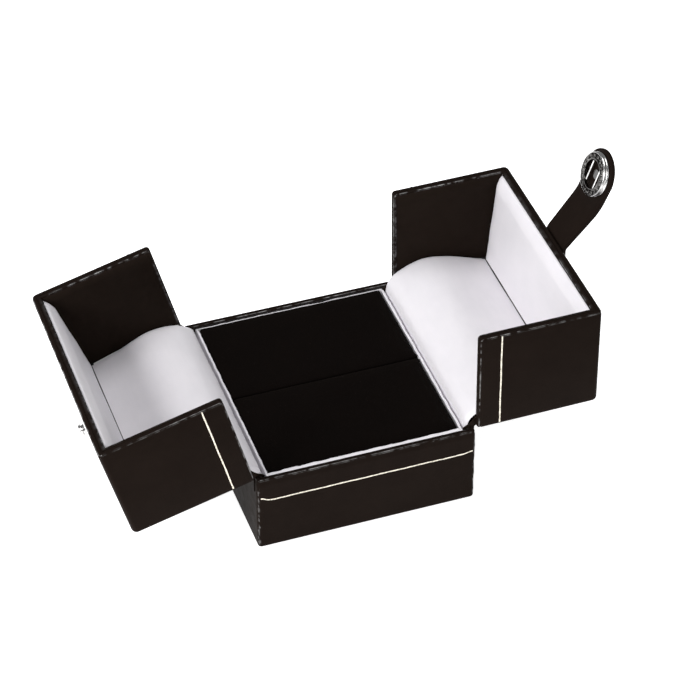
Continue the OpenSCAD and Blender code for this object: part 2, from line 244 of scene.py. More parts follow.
@dataclass(frozen=True)
class Satin:
    """White satin weave with a soft sheen."""

    name: str = "satin"
    shade: Point = (0.67, 0.655, 0.687)
    bright: Point = (0.82, 0.79, 0.822)
    thread: float = 0.16 * MM
    roughness: float = 0.44

    def material(self) -> bpy.types.Material:
        """Builds the finish."""
        tree = ShaderTree(self.name)
        warp = tree.noise(tree.place((3.5, 0.35, 3.5)), self.thread, 2)
        weft = tree.noise(tree.place((0.5, 4, 0.5)), self.thread, 2)
        slub = tree.noise(tree.place((1, 0.3, 1)), 1.6 * MM, 3)
        cloudy = tree.noise(tree.place(), 8 * MM, 2)
        height = warp * 0.6 + weft * 0.4
        share = (cloudy * 0.45 + slub * 0.3 + warp * 0.35).clamp()
        soft = tree.bump(slub, 0.10 * MM, 0.25)
        weave = tree.add("ShaderNodeBump", {}, {
            "Height": height, "Distance": 0.02 * MM, "Strength": 0.45, "Normal": soft})
        tree.set(Base_Color=tree.tint(share, self.shade, self.bright),
                 Roughness=self.roughness + (slub - 0.5) * 0.2, Normal=weave,
                 Specular_IOR_Level=0.5, Sheen_Weight=0.25, Sheen_Roughness=0.35,
                 Sheen_Tint=(0.95, 0.95, 1, 1))
        return tree.material


@dataclass(frozen=True)
class Velvet:
    """Black velvet with a short pile."""

    name: str = "velvet"
    dark: Point = (0.0008, 0.0004, 0.0003)
    light: Point = (0.0034, 0.0017, 0.0011)
    pile: float = 0.22 * MM

    def material(self) -> bpy.types.Material:
        """Builds the finish."""
        tree = ShaderTree(self.name)
        spot = tree.place()
        tufts = tree.noise(spot, self.pile, 2)
        rows = tree.noise(tree.place((3, 0.35, 1)), 0.9 * MM, 3)
        brushed = tree.noise(spot, 12 * MM, 3)
        share = (tufts * 0.5 + rows * 0.45 + brushed * 0.4 - 0.25).clamp()
        tree.set(Base_Color=tree.tint(share, self.dark, self.light),
                 Roughness=0.86 + (tufts - 0.5) * 0.2,
                 Normal=tree.bump(tufts * 0.6 + rows * 0.4, 0.12 * MM, 0.6),
                 Specular_IOR_Level=0.05, Sheen_Weight=0.012, Sheen_Roughness=0.5,
                 Sheen_Tint=(0.6, 0.45, 0.35, 1))
        return tree.material


@dataclass(frozen=True)
class GoldFoil:
    """Pale hot-stamped gold foil, worn through in fine specks."""

    name: str = "gold_foil"
    bright: Point = (0.80, 0.75, 0.64)
    worn: Point = (0.30, 0.26, 0.20)

    def material(self) -> bpy.types.Material:
        """Builds the finish."""
        tree = ShaderTree(self.name)
        spot = tree.place()
        specks = tree.noise(spot, 0.35 * MM, 3)
        drift = tree.noise(spot, 5 * MM, 2)
        share = ((specks - 0.52) * 5 + drift * 0.3).clamp()
        tree.set(Base_Color=tree.tint(share, self.bright, self.worn), Metallic=0.75,
                 Roughness=0.36 + (specks - 0.5) * 0.3,
                 Normal=tree.bump(specks, 0.03 * MM, 0.5))
        return tree.material


@dataclass(frozen=True)
class BrightMetal:
    """Nickel plate or drawn steel with hairline marks."""

    name: str = "nickel"
    clean: Point = (0.74, 0.735, 0.73)
    dull: Point = (0.42, 0.41, 0.40)
    roughness: float = 0.16
    tarnish: float = 0.25

    def material(self) -> bpy.types.Material:
        """Builds the finish."""
        tree = ShaderTree(self.name)
        spot = tree.place()
        hairs = tree.noise(tree.place((6, 1, 1)), 0.3 * MM, 3)
        haze = tree.noise(spot, 1.4 * MM, 3)
        share = ((haze - 0.5) * 1.6 + self.tarnish).clamp()
        tree.set(Base_Color=tree.tint(share, self.clean, self.dull), Metallic=1.0,
                 Roughness=self.roughness + (haze - 0.4) * 0.25 + (hairs - 0.5) * 0.1,
                 Normal=tree.bump(hairs, 0.01 * MM, 0.4))
        return tree.material


@dataclass(frozen=True)
class Fibre:
    """Pressed board, paper, wadding or foam: a matt fibrous stuff."""

    name: str
    dark: Point
    light: Point
    fibre: float = 0.5 * MM
    depth: float = 0.05 * MM
    roughness: float = 0.85

    def material(self) -> bpy.types.Material:
        """Builds the finish."""
        tree = ShaderTree(self.name)
        strands = tree.noise(tree.place((1, 0.3, 1)), self.fibre, 4, 0.65)
        flecks = tree.noise(tree.place(), self.fibre * 3, 3)
        share = (strands * 0.7 + flecks * 0.5 - 0.1).clamp()
        tree.set(Base_Color=tree.tint(share, self.dark, self.light),
                 Roughness=self.roughness + (strands - 0.5) * 0.15,
                 Normal=tree.bump(strands, self.depth, 0.6), Specular_IOR_Level=0.25)
        return tree.material


@dataclass(frozen=True)
class CapPaint:
    """Black baked enamel on the snap's cap."""

    name: str = "cap_paint"

    def material(self) -> bpy.types.Material:
        """Builds the finish."""
        tree = ShaderTree(self.name)
        orange_peel = tree.noise(tree.place(), 0.5 * MM, 2)
        rubs = tree.noise(tree.place(), 2 * MM, 4)
        share = ((rubs - 0.55) * 4).clamp()
        tree.set(Base_Color=tree.tint(share, (0.010, 0.009, 0.009), (0.03, 0.028, 0.027)),
                 Roughness=0.24 + share * 0.2, Normal=tree.bump(orange_peel, 0.02 * MM, 0.4),
                 Coat_Weight=0.5, Coat_Roughness=0.1)
        return tree.material


@dataclass(frozen=True)
class PaleFloor:
    """Plain white studio sweep."""

    name: str = "pale_floor"

    def material(self) -> bpy.types.Material:
        """Builds the finish."""
        tree = ShaderTree(self.name)
        cloudy = tree.noise(tree.place(), 0.2, 2)
        tree.set(Base_Color=tree.tint(cloudy, (0.90, 0.90, 0.90), (0.92, 0.92, 0.92)),
                 Roughness=0.9, Specular_IOR_Level=0.1,
                 Emission_Color=(1, 1, 1, 1), Emission_Strength=0.9)
        return tree.material


@dataclass
class Finishes:
    """Every finish on the box, built once."""

    made: dict[str, bpy.types.Material] = field(default_factory=dict)

    def __post_init__(self) -> None:
        """Builds the materials."""
        for finish in (
            Leatherette(),
            Leatherette("leatherette_inside", (0.0120, 0.0080, 0.0060), (0.0230, 0.0160, 0.0125),
                        0.5 * MM, 0.04 * MM, 0.46),
            Satin(), Velvet(), GoldFoil(), BrightMetal(), CapPaint(),
            # Nickel painted near black: a painted dark reflection, standing in for the dark
            # surroundings that the socket's face and beads reflect.
            BrightMetal("oxidised_nickel", (0.30, 0.29, 0.28), (0.012, 0.011, 0.010), 0.14, 0.75),
            BrightMetal("spring_steel", (0.62, 0.62, 0.63), (0.36, 0.36, 0.37), 0.22),
            Fibre("card", (0.46, 0.41, 0.34), (0.60, 0.55, 0.47), 0.3 * MM),
            Fibre("black_card", (0.008, 0.007, 0.007), (0.02, 0.018, 0.017), 0.3 * MM),
            Fibre("wadding", (0.72, 0.72, 0.70), (0.86, 0.86, 0.84), 0.8 * MM, 0.3 * MM),
            Fibre("foam", (0.66, 0.64, 0.56), (0.82, 0.80, 0.72), 0.6 * MM, 0.2 * MM),
            Fibre("embossed_paper", (0.012, 0.012, 0.012), (0.03, 0.029, 0.028), 0.7 * MM),
        ):
            self.made[finish.name] = finish.material()

    def dress(self, piece: Piece, name: str) -> None:
        """Gives a piece its finish in place of whatever it had."""
        piece.data.materials.clear()
        piece.data.materials.append(self.made[name])

    def dress_node(self, node: str, name: str) -> None:
        """Gives a carried-over node its finish in each of its material slots."""
        piece = frame["nodes"][node]
        if not piece.material_slots:
            piece.data.materials.append(None)
        for slot in piece.material_slots:
            slot.material = self.made[name]


# Modelling


class Bench:
    """The steps that every piece is modelled with; lengths are in metres."""

    @staticmethod
    def only(piece: Piece) -> None:
        """Selects one piece and nothing else."""
        bpy.ops.object.select_all(action="DESELECT")
        bpy.context.view_layer.objects.active = piece
        piece.select_set(True)

    @classmethod
    def move(cls, piece: Piece, matrix: Matrix) -> Piece:
        """Places a piece by a matrix and puts that into its mesh."""
        piece.matrix_world = matrix
        cls.only(piece)
        bpy.ops.object.transform_apply(location=True, rotation=True, scale=True)
        return piece

    @staticmethod
    def copied(piece: Piece) -> Piece:
        """Copies a piece together with its mesh."""
        twin = piece.copy()
        twin.data = piece.data.copy()
        bpy.context.collection.objects.link(twin)
        return twin

    @staticmethod
    def places(piece: Piece) -> np.ndarray:
        """Every vertex's place, one to a row."""
        found = np.empty(len(piece.data.vertices) * 3)
        piece.data.vertices.foreach_get("co", found)
        return found.reshape(-1, 3)

    @staticmethod
    def face_outwards() -> None:
        """Turns every face outwards, in edit mode."""
        bpy.ops.mesh.select_all(action="SELECT")
        bpy.ops.mesh.normals_make_consistent(inside=False)

    @staticmethod
    def start(name: str) -> Piece:
        """Names the primitive just added and puts its place into its mesh."""
        piece = bpy.context.object
        piece.name = piece.data.name = name
        bpy.ops.object.transform_apply(location=True, rotation=True, scale=True)
        return piece

    @classmethod
    def box(cls, name: str, low: Sequence[float], high: Sequence[float]) -> Piece:
        """Adds a box between two corners."""
        low, high = Vector(low), Vector(high)
        bpy.ops.object.select_all(action="DESELECT")
        bpy.ops.mesh.primitive_cube_add(size=1, location=(low + high) / 2, scale=high - low)
        return cls.start(name)

    @classmethod
    def grid(cls, name: str, columns: int, rows: int) -> Piece:
        """Adds a flat unit grid, from 0 to 1 in X and in Y, to be shaped."""
        bpy.ops.object.select_all(action="DESELECT")
        bpy.ops.mesh.primitive_grid_add(x_subdivisions=columns, y_subdivisions=rows, size=1,
                                        location=(0.5, 0.5, 0))
        return cls.start(name)

    @classmethod
    def turned(cls, name: str, outline: Sequence[tuple[float, float]], sides: int = 64) -> Piece:
        """Turns a closed outline about Z, one extruded ring at a time.

        Args:
            name: The piece's name.
            outline: (radius, height) points all round the section.
            sides: Number of sides round the axis.

        Returns:
            The turned piece.
        """
        bpy.ops.object.select_all(action="DESELECT")
        radius, height = outline[0]
        bpy.ops.mesh.primitive_circle_add(vertices=sides, radius=radius, location=(0, 0, height))
        piece = cls.start(name)
        with cls.editing(piece):
            bpy.ops.mesh.select_all(action="SELECT")
            for next_radius, next_height in [*outline[1:], outline[0]]:
                bpy.ops.mesh.extrude_region_move(
                    TRANSFORM_OT_translate={"value": (0, 0, next_height - height)})
                share = next_radius / radius
                bpy.ops.transform.resize(value=(share, share, 1), center_override=(0, 0, 0))
                radius, height = next_radius, next_height
            bpy.ops.mesh.select_all(action="SELECT")
            bpy.ops.mesh.remove_doubles(threshold=0.001 * MM)
            cls.face_outwards()
        return piece

    @classmethod
    @contextmanager
    def editing(cls, piece: Piece) -> Iterator[None]:
        """Edit mode on one piece."""
        cls.only(piece)
        bpy.ops.object.mode_set(mode="EDIT")
        try:
            yield
        finally:
            bpy.ops.object.mode_set(mode="OBJECT")

    @staticmethod
    def pick(kind: Element, wanted: Callable[[Any], bool]) -> None:
        """Selects the vertices, edges or faces that pass a test, in edit mode."""
        bpy.ops.mesh.select_mode(type=kind.name)
        bpy.ops.mesh.select_all(action="DESELECT")
        mesh = bmesh.from_edit_mesh(bpy.context.edit_object.data)
        for item in [item for item in getattr(mesh, kind.value) if wanted(item)]:
            item.select_set(True)
        mesh.select_flush_mode()
        bmesh.update_edit_mesh(bpy.context.edit_object.data)

    @classmethod
    def pick_facing(cls, direction: Sequence[float]) -> None:
        """Selects the faces that face a direction, in edit mode."""
        cls.pick(Element.FACE, lambda f: f.normal.dot(Vector(direction)) > 0.99)

    @staticmethod
    def middle(edge: bmesh.types.BMEdge) -> Vector:
        """Middle of an edge."""
        return (edge.verts[0].co + edge.verts[1].co) / 2

    @classmethod
    def shape(cls, piece: Piece, move: Callable[[np.ndarray], np.ndarray]) -> Piece:
        """Moves every vertex by a rule on the whole array of places."""
        piece.data.vertices.foreach_set("co", move(cls.places(piece)).ravel())
        piece.data.update()
        return piece

    @classmethod
    def modify(cls, piece: Piece, kind: str, **settings: Any) -> Piece:
        """Adds a modifier, sets it and applies it."""
        cls.only(piece)
        modifier = piece.modifiers.new(kind.lower(), kind)
        for key, value in settings.items():
            setattr(modifier, key, value)
        bpy.ops.object.modifier_apply(modifier=modifier.name)
        return piece

    @classmethod
    def settle(cls, piece: Piece, matrix: Matrix | None = None, smooth: float = 35) -> Piece:
        """Puts a piece in its place, turns its faces outwards and smooths it.

        Args:
            piece: The piece, drawn in its own frame.
            matrix: Where that frame is, or None if it is the box's own.
            smooth: Edges sharper than this many degrees stay sharp.

        Returns:
            The same piece.
        """
        if matrix is not None:
            cls.move(piece, matrix)
        with cls.editing(piece):
            cls.face_outwards()
        bpy.ops.object.shade_smooth_by_angle(angle=math.radians(smooth))
        return piece

    @classmethod
    def polish(cls, piece: Piece, where: Callable[[np.ndarray], np.ndarray]) -> None:
        """Paints how polished the leatherette is at each vertex, from 0 to 1."""
        layer = piece.data.attributes.new(POLISH, "FLOAT", "POINT")
        layer.data.foreach_set("value", where(cls.places(piece)).astype(float))

    @staticmethod
    def slice(axis: int, *levels: float) -> None:
        """Cuts everything along planes across one axis, in edit mode."""
        for level in levels:
            spot, normal = [0.0, 0.0, 0.0], [0.0, 0.0, 0.0]
            spot[axis], normal[axis] = level, 1.0
            bpy.ops.mesh.select_all(action="SELECT")
            bpy.ops.mesh.bisect(plane_co=spot, plane_no=normal)

    @classmethod
    def joined(cls, name: str, pieces: Sequence[Piece]) -> Piece:
        """Joins pieces into one object."""
        bpy.ops.object.select_all(action="DESELECT")
        for piece in pieces:
            piece.select_set(True)
        bpy.context.view_layer.objects.active = pieces[0]
        bpy.ops.object.join()
        pieces[0].name = pieces[0].data.name = name
        return pieces[0]

    @staticmethod
    def ripple(places: np.ndarray, grain: float, seed: float) -> np.ndarray:
        """Smooth noise between -1 and 1 at each place."""
        offset = Vector((seed, -seed, seed / 2))
        return np.array([noise.noise(Vector(p) / grain + offset) for p in places])


def smoothstep(share: np.ndarray) -> np.ndarray:
    """Eases 0 to 1."""
    share = np.clip(share, 0, 1)
    return share * share * (3 - 2 * share)


def round_box(places: np.ndarray, low: Sequence[float], high: Sequence[float],
              r: float) -> np.ndarray:
    """Rounds the edges of a subdivided box's surface.

    Args:
        places: Points on the box's surface.
        low: The box's low corner.
        high: The box's high corner.
        r: Radius of the edges.

    Returns:
        The moved points.
    """
    core = np.clip(places, np.array(low) + r, np.array(high) - r)
    out = places - core
    length = np.maximum(np.linalg.norm(out, axis=1, keepdims=True), 1e-12)
    return core + out / length * r


@dataclass(frozen=True)
class Plumper:
    """Puffs a closed padded piece up with a short cloth simulation."""

    enlarge: float = 20.0
    pressure: float = 4.0
    frames: int = 14
    cap: float = 0.35 * MM

    def plump(self, piece: Piece, share: Callable[[np.ndarray], np.ndarray]) -> Piece:
        """Inflates the piece, then keeps a capped share of the movement.

        Args:
            piece: The closed piece; its vertices keep their order.
            share: From 0 to 1 for each place, how much it may move.

        Returns:
            The same piece.
        """
        before = Bench.places(piece)
        big = bpy.data.objects.new("plumping", piece.data.copy())
        bpy.context.collection.objects.link(big)
        Bench.shape(big, lambda p: (p - before.mean(axis=0)) * self.enlarge)
        cloth = big.modifiers.new("cloth", "CLOTH")
        for key, value in (("quality", 6), ("mass", 0.3), ("use_pressure", True),
                           ("uniform_pressure_force", self.pressure), ("tension_stiffness", 25),
                           ("compression_stiffness", 25), ("bending_stiffness", 1.5)):
            setattr(cloth.settings, key, value)
        cloth.settings.effector_weights.gravity = 0
        scene = bpy.context.scene
        for number in range(1, self.frames + 1):
            scene.frame_set(number)
        depsgraph = bpy.context.evaluated_depsgraph_get()
        result = np.empty(before.size)
        big.evaluated_get(depsgraph).data.vertices.foreach_get("co", result)
        scene.frame_set(1)
        after = result.reshape(-1, 3) / self.enlarge + before.mean(axis=0)
        moved = after - before
        length = np.maximum(np.linalg.norm(moved, axis=1, keepdims=True), 1e-12)
        moved *= np.minimum(1, self.cap / length) * share(before)[:, None]
        bpy.data.objects.remove(big)
        return Bench.shape(piece, lambda p: before + moved)


# The parts of the box


@dataclass
class Walls:
    """Driving sizes of the walls and doors, in metres."""

    board: float = 1.5 * MM
    wrap: float = 0.4 * MM
    facing: float = 0.6 * MM
    door_w: float = 30.5 * MM
    door_h: float = 33.9 * MM
    door_d: float = 67.6 * MM
    door_edge_r: float = 1.5 * MM
    rim: float = 2.35 * MM
    hump_y: float = 31.15 * MM

    @property
    def wall(self) -> float:
        """Whole thickness of a wall."""
        return self.board + self.wrap


@dataclass(frozen=True)
class Rim:
    """A folded rim, drawn as lines further and further in from the wall's outline."""

    width: float
    corner_r: float
    bead: float = 0.42 * MM
    groove: float = 0.17 * MM
    tuck: float = 0.55 * MM
    gap: float = 10 * MM

    def lines(self) -> np.ndarray:
        """Lines over the rim: a bead, a groove, a smaller bead and the turned-in edge.

        Returns:
            Rows of (inwards, outwards), from the outline on.
        """
        turns = [math.radians(a) for a in (22.5, 45, 67.5, 90)]
        middle, slot, inner = 0.56 * self.width, 0.17 * MM, 0.7 * self.bead
        return np.array([
            (0, 0), *((self.bead * (1 - math.cos(a)), self.bead * math.sin(a)) for a in turns),
            (middle - slot, self.bead), (middle - slot * 0.4, self.bead - self.groove),
            (middle + slot * 0.4, self.bead - self.groove), (middle + slot, self.bead),
            *((self.width - inner * (1 - math.sin(a)), self.bead - inner * (1 - math.cos(a)))
              for a in turns),
            (self.width, -self.tuck)])

    def crests(self, inwards: np.ndarray, on_rim: np.ndarray) -> np.ndarray:
        """True along the crests of the two beads, which rub to a shine.

        Args:
            inwards: Distance of each point from the outline.
            on_rim: True for points on the rim.

        Returns:
            Whether each point is on a crest.
        """
        return on_rim & ((inwards < self.bead + 0.06 * MM) | (inwards > self.width - 0.3 * MM))

    def stack(self, direction: Sequence[float]) -> None:
        """Extrudes the selected faces once for each line and opens the last, in edit mode."""
        for _ in self.lines()[1:]:
            bpy.ops.mesh.extrude_region_move(
                TRANSFORM_OT_translate={"value": Vector(direction) * self.gap})
        bpy.ops.mesh.delete(type="FACE")

    def turn(self, a: np.ndarray, b: np.ndarray, end_a: float, end_b: float,
             inwards: np.ndarray) -> tuple[np.ndarray, np.ndarray]:
        """Moves points of an outline with a round corner inwards.

        Args:
            a: Distances along the first axis.
            b: Distances along the second axis.
            end_a: Where the first axis ends.
            end_b: Where the second axis ends.
            inwards: How far each point moves in.

        Returns:
            The new distances; the corner becomes a mitre once its radius is used up.
        """
        r = self.corner_r
        left = np.maximum(r - inwards, 0.04 * MM)
        in_corner = (a > end_a - r) & (b > end_b - r)
        round_a = end_a - inwards - left + (a - end_a + r) / r * left
        round_b = end_b - inwards - left + (b - end_b + r) / r * left
        on_a = a > end_a - 0.05 * MM
        on_b = b > end_b - 0.05 * MM
        flat_a = np.where(on_a, end_a - inwards, np.minimum(a, end_a - inwards - left))
        flat_b = np.where(on_b, end_b - inwards, np.minimum(b, end_b - inwards - left))
        still = inwards <= 0
        return (np.where(still, a, np.where(in_corner, round_a, flat_a)),
                np.where(still, b, np.where(in_corner, round_b, flat_b)))


def turn_towards(piece: Piece, direction: Vector) -> None:
    """Flips an open sheet if it faces away from a direction."""
    facing = sum((p.normal * p.area for p in piece.data.polygons), Vector())
    if facing.dot(direction) < 0:
        with Bench.editing(piece):
            bpy.ops.mesh.select_all(action="SELECT")
            bpy.ops.mesh.flip_normals()


def foil_pair(name: str, columns: int, run: Callable[[np.ndarray, int], np.ndarray]) -> Piece:
    """Lays foil strips on a front and a back wall.

    Args:
        name: The piece's name.
        columns: How finely each strip is divided along its length.
        run: Lays a unit grid's points on the front (-1) or back (1) wall.

    Returns:
        Both strips as one piece.
    """
    strips = []
    for face in (-1, 1):
        strip = Bench.shape(Bench.grid("foil_run", columns, 2), lambda p, f=face: run(p, f))
        turn_towards(strip, Vector((0, face, 0)))
        strips.append(Bench.modify(strip, "SOLIDIFY", thickness=FOIL_THICK, offset=1))
    return Bench.joined(name, strips)


@dataclass
class Base:
    """The lower tray: wrapped board, foil line, satin frame and ring pad."""

    finishes: Finishes
    walls: Walls
    corner_r: float = 1.0 * MM
    foot_r: float = 0.9 * MM
    rim_w: float = 1.55 * MM
    seam_drop: float = 1.35 * MM
    foil_w: float = 0.37 * MM

    def __post_init__(self) -> None:
        """Reads the tray's size from the frame."""
        low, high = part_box("base_wrap")
        self.half_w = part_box("base_shell")[1].x + self.walls.wrap
        self.half_d = high.y
        self.top = high.z

    def build(self) -> None:
        """Builds and dresses every piece of the base."""
        self.wrap()
        self.foil()
        self.pad_frame()
        self.half_pads()
        for node, finish in (("base_shell", "black_card"), ("base_underlay", "embossed_paper"),
                             ("pad_card", "card"), ("foam_riser", "foam")):
            self.finishes.dress_node(node, finish)

    def wrap(self) -> Piece:
        """Leatherette over the tray, with a folded rim and a turned-in underside.

        Returns:
            The wrap.
        """
        rim = Rim(self.rim_w, self.corner_r)
        rim_bead = rim.bead
        seam = self.top - self.seam_drop
        corner = np.array((self.half_w, self.half_d))

        def tighten(p: np.ndarray) -> np.ndarray:
            """Lays the rim's lines, draws its edging in and creases the upright corners."""
            past = p[:, 2] - self.top + rim_bead
            number = np.clip(np.round(past / rim.gap), 0, None).astype(int)
            inwards, outwards = rim.lines()[number].T
            x, y = rim.turn(np.abs(p[:, 0]), np.abs(p[:, 1]), *corner, inwards)
            z = p[:, 2] - number * rim.gap + outwards
            p = np.stack([np.sign(p[:, 0]) * x, np.sign(p[:, 1]) * y, z], axis=1)
            drawn = smoothstep((p[:, 2] - seam + 0.08 * MM) / (0.16 * MM)) * 0.13 * MM
            away = np.linalg.norm(np.abs(p[:, :2]) - corner, axis=1)
            creased = np.clip(1 - away / (1.2 * MM), 0, 1) * (p[:, 2] > 1.5 * MM) * (p[:, 2] < seam)
            crease = Bench.ripple(p * (1, 1, 0.55), 0.9 * MM, 2.0) * 0.26 * MM * creased
            return np.stack([p[:, 0] + np.sign(p[:, 0]) * (crease - drawn),
                             p[:, 1] + np.sign(p[:, 1]) * (crease - drawn), p[:, 2]], axis=1)
        piece = Bench.box("base_wrap_skin", (-self.half_w, -self.half_d, 0),
                          (self.half_w, self.half_d, self.top - rim_bead))
        with Bench.editing(piece):
            Bench.pick(Element.EDGE, lambda e: abs(e.verts[0].co.z - e.verts[1].co.z) > MM)
            bpy.ops.mesh.bevel(offset=self.corner_r, segments=6, affect="EDGES")
            Bench.pick(Element.EDGE, lambda e: Bench.middle(e).z < 0.01 * MM)
            bpy.ops.mesh.bevel(offset=self.foot_r, segments=5, affect="EDGES")
            Bench.slice(2, *(self.top * n / 44 for n in range(3, 41)),
                        seam - 0.16 * MM, seam - 0.08 * MM, seam)
            Bench.slice(0, -self.half_w + 2 * MM, self.half_w - 2 * MM)
            Bench.slice(1, -self.half_d + 2 * MM, self.half_d - 2 * MM)
            Bench.pick_facing((0, 0, 1))
            rim.stack((0, 0, 1))
            Bench.pick_facing((0, 0, -1))
            bpy.ops.mesh.inset(thickness=4 * MM - self.foot_r, depth=0)
            bpy.ops.mesh.delete(type="FACE")
        Bench.shape(piece, tighten)
        Bench.modify(piece, "SOLIDIFY", thickness=0.25 * MM, offset=-1)
        Bench.polish(piece, lambda p: np.maximum(
            rim.crests((corner - np.abs(p[:, :2])).min(axis=1), p[:, 2] > self.top - 0.38 * MM),
            np.linalg.norm(np.abs(p[:, :2]) - corner, axis=1) < 0.5 * MM))
        Bench.settle(piece)
        return place(piece, self.finishes, "leatherette", "leatherette", "base", "base_wrap")

    def foil(self) -> Piece:
        """Foil lines along the front and back, lifting towards the corners.

        Returns:
            Both lines as one piece.
        """
        low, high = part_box("base_gold_line")
        level = (low.z + high.z) / 2
        reach = self.half_w - 0.9 * MM

        def run(p: np.ndarray, face: int) -> np.ndarray:
            """Lays the strip on one wall."""
            x = (p[:, 0] * 2 - 1) * reach
            from_left, from_right = (x + reach) / MM, (reach - x) / MM
            lift = np.exp(-(from_left / 1.6) ** 2) + 0.45 * np.exp(-(from_right / 1.5) ** 2)
            wander = 0.035 * np.sin(x / MM * 0.55 + face) + 0.02 * np.sin(x / MM * 2.3)
            half = self.foil_w / 2 * (1 + 0.10 * np.sin(x / MM * 1.7 + 1))
            z = level + (lift + wander) * MM + (p[:, 1] * 2 - 1) * half
            corner = np.clip(np.abs(x) - (self.half_w - self.corner_r), 0, None)
            sink = self.corner_r - np.sqrt(np.clip(self.corner_r ** 2 - corner ** 2, 0, None))
            return np.stack([x, face * (self.half_d - sink + FOIL_CLEAR), z], axis=1)
        piece = foil_pair("base_foil_lines", 160, run)
        Bench.settle(piece)
        return place(piece, self.finishes, "gold_foil", "gold_foil", "base", "base_gold_line")

    def pad_frame(self) -> Piece:
        """Satin-covered frame round the pad: soft top edge, slightly uneven.

        Returns:
            The frame.
        """
        low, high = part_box("base_lining")
        low, high = low - Vector((0, 0.35 * MM, 0)), high + Vector((0, 0, 0.1 * MM))
        piece = Bench.box("pad_frame_satin", low, high)
        with Bench.editing(piece):
            Bench.pick_facing((0, 0, 1))
            bpy.ops.mesh.inset(thickness=0.6 * MM)
            bpy.ops.mesh.extrude_region_move(
                TRANSFORM_OT_translate={"value": (0, 0, low.z - high.z + 0.5 * MM)})
            bpy.ops.mesh.delete(type="FACE")
            Bench.pick_facing((0, 0, -1))
            bpy.ops.mesh.delete(type="FACE")
            Bench.pick(Element.VERT, lambda v: low.y + 0.3 * MM < v.co.y < 0)
            bpy.ops.transform.translate(value=(0, 0.62 * MM, 0))
            Bench.pick(Element.VERT, lambda v: 0 < v.co.y < high.y - 0.3 * MM)
            bpy.ops.transform.translate(value=(0, 0.3 * MM, 0))
            top = high.z - 0.01 * MM
            Bench.pick(Element.EDGE, lambda e: min(v.co.z for v in e.verts) > top
                       and any(abs(f.normal.z) < 0.5 for f in e.link_faces))
            bpy.ops.mesh.bevel(offset=0.13 * MM, segments=3, affect="EDGES")
            Bench.slice(0, *np.linspace(low.x, high.x, 92)[1:-1])
            Bench.slice(1, *np.linspace(low.y, high.y, 102)[1:-1])

        def fray(p: np.ndarray) -> np.ndarray:
            """Lowers the back, where the pad covers it, and frays the top edge."""
            shown = smoothstep((p[:, 2] - high.z + 1.5 * MM) / (1.5 * MM))
            slow = Bench.ripple(p, 2.6 * MM, 3.0)[:, None] * (0.10 * MM, 0.10 * MM, 0.12 * MM)
            threads = (np.clip(Bench.ripple(p, 0.8 * MM, 8.0), 0, 1)[:, None]
                       * (0.16 * MM, 0.1 * MM, 0.14 * MM))
            at_back = smoothstep((p[:, 1] - high.y + 1.6 * MM) / (1.2 * MM))
            return p + shown[:, None] * (slow + threads - at_back[:, None] * (0, 0, 0.62 * MM))
        Bench.shape(piece, fray)
        Bench.modify(piece, "SOLIDIFY", thickness=0.12 * MM, offset=-1)
        Bench.settle(piece, smooth=60)
        return place(piece, self.finishes, "satin", "satin", "base", "base_lining")

    def half_pads(self) -> None:
        """The two velvet half pads, crowned over their foam, with the ring slit between them."""
        for node in ("front_pad", "back_pad"):
            low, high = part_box(node)
            if node == "back_pad":
                high = Vector((high.x, high.y + 0.5 * MM, high.z))
            piece = Bench.box(f"{node}_velvet", low, high)
            with Bench.editing(piece):
                bpy.ops.mesh.select_all(action="SELECT")
                bpy.ops.mesh.subdivide(number_cuts=39)
            Bench.shape(piece, lambda p: round_box(p, low, high, 0.75 * MM))
            bottom = low.z
            height = high.z - low.z
            Plumper(cap=0.3 * MM).plump(
                piece, lambda p: smoothstep((p[:, 2] - bottom) / height) * (np.abs(p[:, 1]) > MM))
            Bench.shape(piece, lambda p: p + np.outer(
                Bench.ripple(p, 7 * MM, 1.0) * (p[:, 2] > high.z - 0.5 * MM), (0, 0, 0.08 * MM)))
            Bench.settle(piece, smooth=60)
            place(piece, self.finishes, "velvet", "velvet", "base", node)


def place(piece: Piece, finishes: Finishes, finish: str, slot: str, body: str,
          *nodes: str) -> Piece:
    """Dresses a piece, makes it ride on its body and stand for its nodes.

    Args:
        piece: The finished piece.
        finishes: Every finish.
        finish: Name of the piece's finish.
        slot: The record's slot for it; not used.
        body: The body that it rides on; with an empty name it rides on none.
        nodes: The nodes that it stands for.

    Returns:
        The same piece.
    """
    finishes.dress(piece, finish)
    if body:
        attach(piece, body)
    if nodes:
        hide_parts(*nodes)
    triangles = sum(len(p.vertices) - 2 for p in piece.data.polygons)
    log.info("%s: %d triangles, %s", piece.name, triangles, finish)
    return piece


